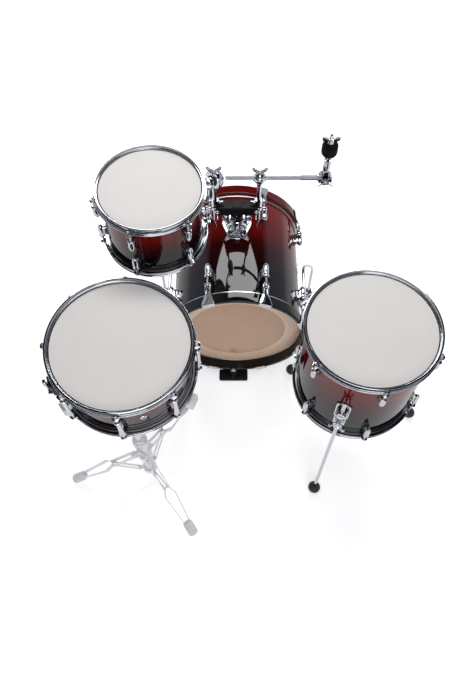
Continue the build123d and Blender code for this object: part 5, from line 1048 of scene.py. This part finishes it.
# Snare stand: steel tubes and pressed strips, finished in a pale satin enamel, on light grey rubber feet.
# Three double-strip legs hang on a collar that slides on the base tube, and braces hold them open.
enamel, tree, surface = finish_named("pale satin enamel on steel")
flow = speckle(tree, 0.04, 3.0)
gloss = add(tree, "ShaderNodeMapRange", {"Value": flow, "To Min": 0.28, "To Max": 0.42})
tone = blend(tree, flow, "#eff0f1", "#f6f6f7")
add(tree, surface, {"Base Color": tone, "Roughness": gloss, "Coat Weight": 0.2})
grey_rubber = speckled("light grey moulded rubber", 0.002, 3.0, "#dfe0e1", "#e7e8e9", {"Roughness": 0.65},
                       (0.3, 0.0004))

STAND_X, STAND_Y = -278, -343
STAND = at(STAND_X, STAND_Y, 0)
FOOT_SPOKES = [STAND @ spun(angle) for angle in (66, 186, 306)]
PIVOT_CIRCLE, UPPER, LOWER, FOOT_REACH = 31.0, 175.0, 55.0, 235.0


def collar_parts(height, tongue, pin_half):
    """Collar round the tube with a tongue and a riveted pin at each leg."""
    low, high = height - 10, height + 10
    collar = turned([
        (12.75, low), (20.6, low), (21.7, low + 1), (21.7, high - 1), (20.6, high), (12.75, high),
    ], 40)
    outline = [(16, -6), (31, -6), (36.5, -3), (36.5, 3), (31, 6), (16, 6)]
    outline = rounded([(x, height + z) for x, z in outline], 4, 4)
    lug = plate(outline, -tongue / 2, tongue / 2, 0.8, 2)
    rivet = turned([
        (0, 0), (3, 0), (3, pin_half - 0.3), (4.6, pin_half - 0.1), (4.2, pin_half + 1.2),
        (2, pin_half + 1.9), (0, pin_half + 2),
    ], 18)
    part = [(lug, raised_y, 0)]
    part += [(rivet, facing((PIVOT_CIRCLE, 0, height), (0, way, 0)), 0) for way in (-1, 1)]
    return [(collar, STAND, 0)] + shifted(part, *FOOT_SPOKES)


def strip(start, end, width, low, high):
    """Flat strip with round ends between two (radius, height) points, raised from low to high."""
    start, end = Vector(start), Vector(end)
    way = (end - start).normalized()
    side = Vector((-way.y, way.x)) * width / 2
    turns = [pi * k / 8 for k in range(9)]
    outline = [start + side * cos(a) - way * sin(a) * width / 2 for a in turns]
    outline += [end - side * cos(a) + way * sin(a) * width / 2 for a in turns]
    return plate([(p.x, p.y) for p in outline], low, high, 0.5, 2)


tube = turned([(9.6, 38), (12, 38), (12.7, 38.7), (12.7, 296), (9.6, 296)], 40)
end_cap = turned([(0, 36.4), (8, 36.4), (11.6, 37.4), (12.2, 39), (9.5, 40), (0, 40)], 32)
clamp = turned([
    (12.7, 268), (20.4, 268), (21.7, 269.4), (21.7, 280), (21, 281), (21, 283), (21.7, 284), (21.7, 294.6),
    (20.4, 296), (12.7, 296),
], 40)
nose = turned([(0, 0), (11, 0), (10.4, 5), (8.4, 9), (8.2, 14.4), (7.4, 15.2), (0, 15.2)], 28)
CLAMP_Z = 282
base = [(tube, STAND, 0), (end_cap, STAND, 1), (clamp, STAND, 0)]
base.append((nose, STAND @ facing((0, -12.6, CLAMP_Z), (0, -1, 0)), 0))
base += wing_bolt(STAND @ facing((0, -27.7, CLAMP_Z), (0, -1, 0)))
base += collar_parts(LOWER, 7.0, 5.8)
build("stand_base_steel", base, [enamel, grey_rubber], "stand_base", "stand_steel", "stand_base_tube")
ring = collar_parts(UPPER, 14.0, 9.8)
build("stand_ring_steel", ring, [enamel], "stand_collar", "stand_steel", "stand_ring")

leg_drop = UPPER - 15
rise = (UPPER - LOWER) / 2
leg_run = FOOT_REACH - PIVOT_CIRCLE
brace_end = (PIVOT_CIRCLE + rise * leg_run / leg_drop, LOWER + rise)
leg_length = hypot(leg_run, leg_drop)
# a leg's own place: X runs down along it from its pivot
down_leg = at(PIVOT_CIRCLE, 0, UPPER) @ Matrix.Rotation(atan2(leg_drop, leg_run), 4, "Y")
inside = [(-7, 7.3), (0.41 * leg_length, 7.3), (0.47 * leg_length, 15.8), (leg_length + 7, 4.8)]
leg_strip = plate(inside + [(x, y + 2.5) for x, y in inside[::-1]], -7, 7, 0.5, 2)
foot = turned([
    (0, -30), (11.6, -30), (14, -28.6), (15, -26), (15, -18), (14.2, -17), (14.2, -15.6), (15, -14.6),
    (15, -6.6), (14.2, -5.6), (14.2, -4.2), (15, -3.2), (15, 10), (14, 13), (11.6, 14), (0, 14),
], 32)
# the foot lies along the leg and is worn flat on the floor
spots = [down_leg @ facing((leg_length, 0, 0), (1, 0, 0)) @ Vector(p) for p in foot["points"]]
foot["points"] = [(p.x, p.y, max(p.z, 0)) for p in spots]
leg_rivet = turned([(0, -2.6), (4.4, -2.6), (4.5, 0.6), (3.4, 1.7), (0, 2)], 18)
pin = rod([(brace_end[0], y, brace_end[1]) for y in (-3.9, 3.9)], 3)
brace_strip = strip((PIVOT_CIRCLE, LOWER), brace_end, 12, 3.8, 5.8)
leg, brace = [(foot, Matrix(), 1)], [(pin, Matrix(), 0)]
for way, side in ((-1, other_way), (1, Matrix())):
    leg.append((leg_strip, side @ down_leg, 0))
    leg.append((leg_rivet, facing((brace_end[0], way * 9.8, brace_end[1]), (0, way, 0)), 0))
    brace.append((brace_strip, side @ raised_y, 0))
for k, spoke in enumerate(FOOT_SPOKES, 1):
    for name, parts, finishes in ((f"leg_{k}", leg, [enamel, grey_rubber]), (f"brace_{k}", brace, [enamel])):
        build(f"stand_{name}_strips", shifted(parts, spoke), finishes,
              f"tripod_{name}", "stand_steel", f"stand_{name}")

TILT_Z = 470.0
mast = turned([(0, 120), (8.6, 120), (9.5, 121), (9.5, 450), (8.6, 452.4), (0, 452.4)], 32)
tongue = plate(rounded(oblong(-9.3, 448, 9.3, TILT_Z), 1, 2), -7, 7, 0.6, 2)
eye = turned([(4.1, -7), (12.2, -7), (13, -6.2), (13, 6.2), (12.2, 7), (4.1, 7)], 36)
parts = [(mast, STAND, 0), (tongue, STAND @ raised_x, 0), (eye, STAND @ facing((0, 0, TILT_Z), (1, 0, 0)), 0)]
parts += lock_collar(9.5, 17, 296.3, 311.3, (STAND_X, STAND_Y), (0.8, -0.6, 0))
build("stand_mast_tube", parts, [enamel], "stand_mast", "stand_steel", "stand_mast")


# Basket: a hub on a tilting neck, with three double-strip arms whose rubber tips hold the snare drum's rim.
# The neck's fork turns on the mast's eye.
BASKET_Z, ARM_PIVOT = -204.4, 33.0
TIP_SPOKES = [SNARE @ spun(angle) for angle in (98.5, 214.5, 334.5)]
at_tilt = STAND @ at(0, 0, TILT_Z)
hub = turned([
    (0, -215.4), (20, -215.4), (22, -213.8), (22, -208), (20.6, -206.6), (20.6, -202.2), (22, -200.8),
    (22, -195), (20, -193.4), (0, -193.4),
], 44)
lug = rounded([(14, -211.4), (33, -211.4), (40, -208), (40, -200.8), (33, -197.4), (14, -197.4)], 6, 5)
lug = plate(lug, -5, 5, 0.8, 2)
arm_rivet = turned([(0, 0), (3, 0), (3, 8.2), (4.8, 8.4), (4.2, 9.8), (2, 10.6), (0, 10.8)], 18)
on_spoke = [(lug, raised_y, 0)]
on_spoke += [(arm_rivet, facing((ARM_PIVOT, 0, BASKET_Z), (0, way, 0)), 0) for way in (-1, 1)]
hub_parts = [(hub, SNARE, 0)] + shifted(on_spoke, *TIP_SPOKES)
cheek = plate(rounded(mirrored([(-13, -8), (-8, -13), (6, -13), (19.3, -6)]), 6, 5), 7.3, 13.3, 1)
hub_parts += [(cheek, at_tilt @ side @ raised_x, 0) for side in (Matrix(), other_side)]
yoke = plate(rounded(oblong(-13.3, 13.4, 13.3, 19.3), 1, 2), -6, 6, 0.8, 2)
hub_parts.append((yoke, at_tilt, 0))
neck_start = at_tilt @ Vector((0, 16.3, 0))
hub_parts.append((rod([neck_start, SNARE @ Vector((0, 0, BASKET_Z))], 8, 0, 24), Matrix(), 0))
bolt_head = turned([(0, -1), (8, -1), (8.4, 0), (8.4, 3.4), (7.4, 4.6), (4, 5), (0, 5)], 24)
hub_parts += [(bolt_head, at_tilt @ facing((way * 13.3, 0, 0), (way, 0, 0)), 0) for way in (-1, 1)]
build("basket_hub_casting", hub_parts, [enamel], "basket", "stand_steel", "basket_hub")

ARM_X, TIP_INNER, RIM_LOW = 182.1, 179.5, -163.4
tip = plate(rounded([
    (TIP_INNER - 14, RIM_LOW - 14.3), (TIP_INNER + 14, RIM_LOW - 14.3), (TIP_INNER + 14, -142.4),
    (TIP_INNER + 0.2, -142.4), (TIP_INNER + 0.2, RIM_LOW - 0.3), (TIP_INNER - 14, RIM_LOW - 0.3),
], 3.4, 4), -13, 13, 2)
spacer = plate(rounded(oblong(175.6, BASKET_Z, 188.6, BASKET_Z + 7), 1, 2), -5.4, 5.4, 0.4, 1)
bend = (ARM_X, BASKET_Z)
lying = strip((ARM_PIVOT, BASKET_Z), bend, 14, 5.3, 8.3)
standing = strip(bend, (ARM_X, RIM_LOW - 7.3), 14, 5.3, 8.3)
arm = [(tip, raised_y, 1), (spacer, raised_y, 0)]
arm += [(shape, side @ raised_y, 0) for side in (other_way, Matrix()) for shape in (lying, standing)]
for k, spoke in enumerate(TIP_SPOKES, 1):
    name = f"basket_arm_{k}"
    build(f"{name}_strips", shifted(arm, spoke), [enamel, grey_rubber], name, "stand_steel", name)
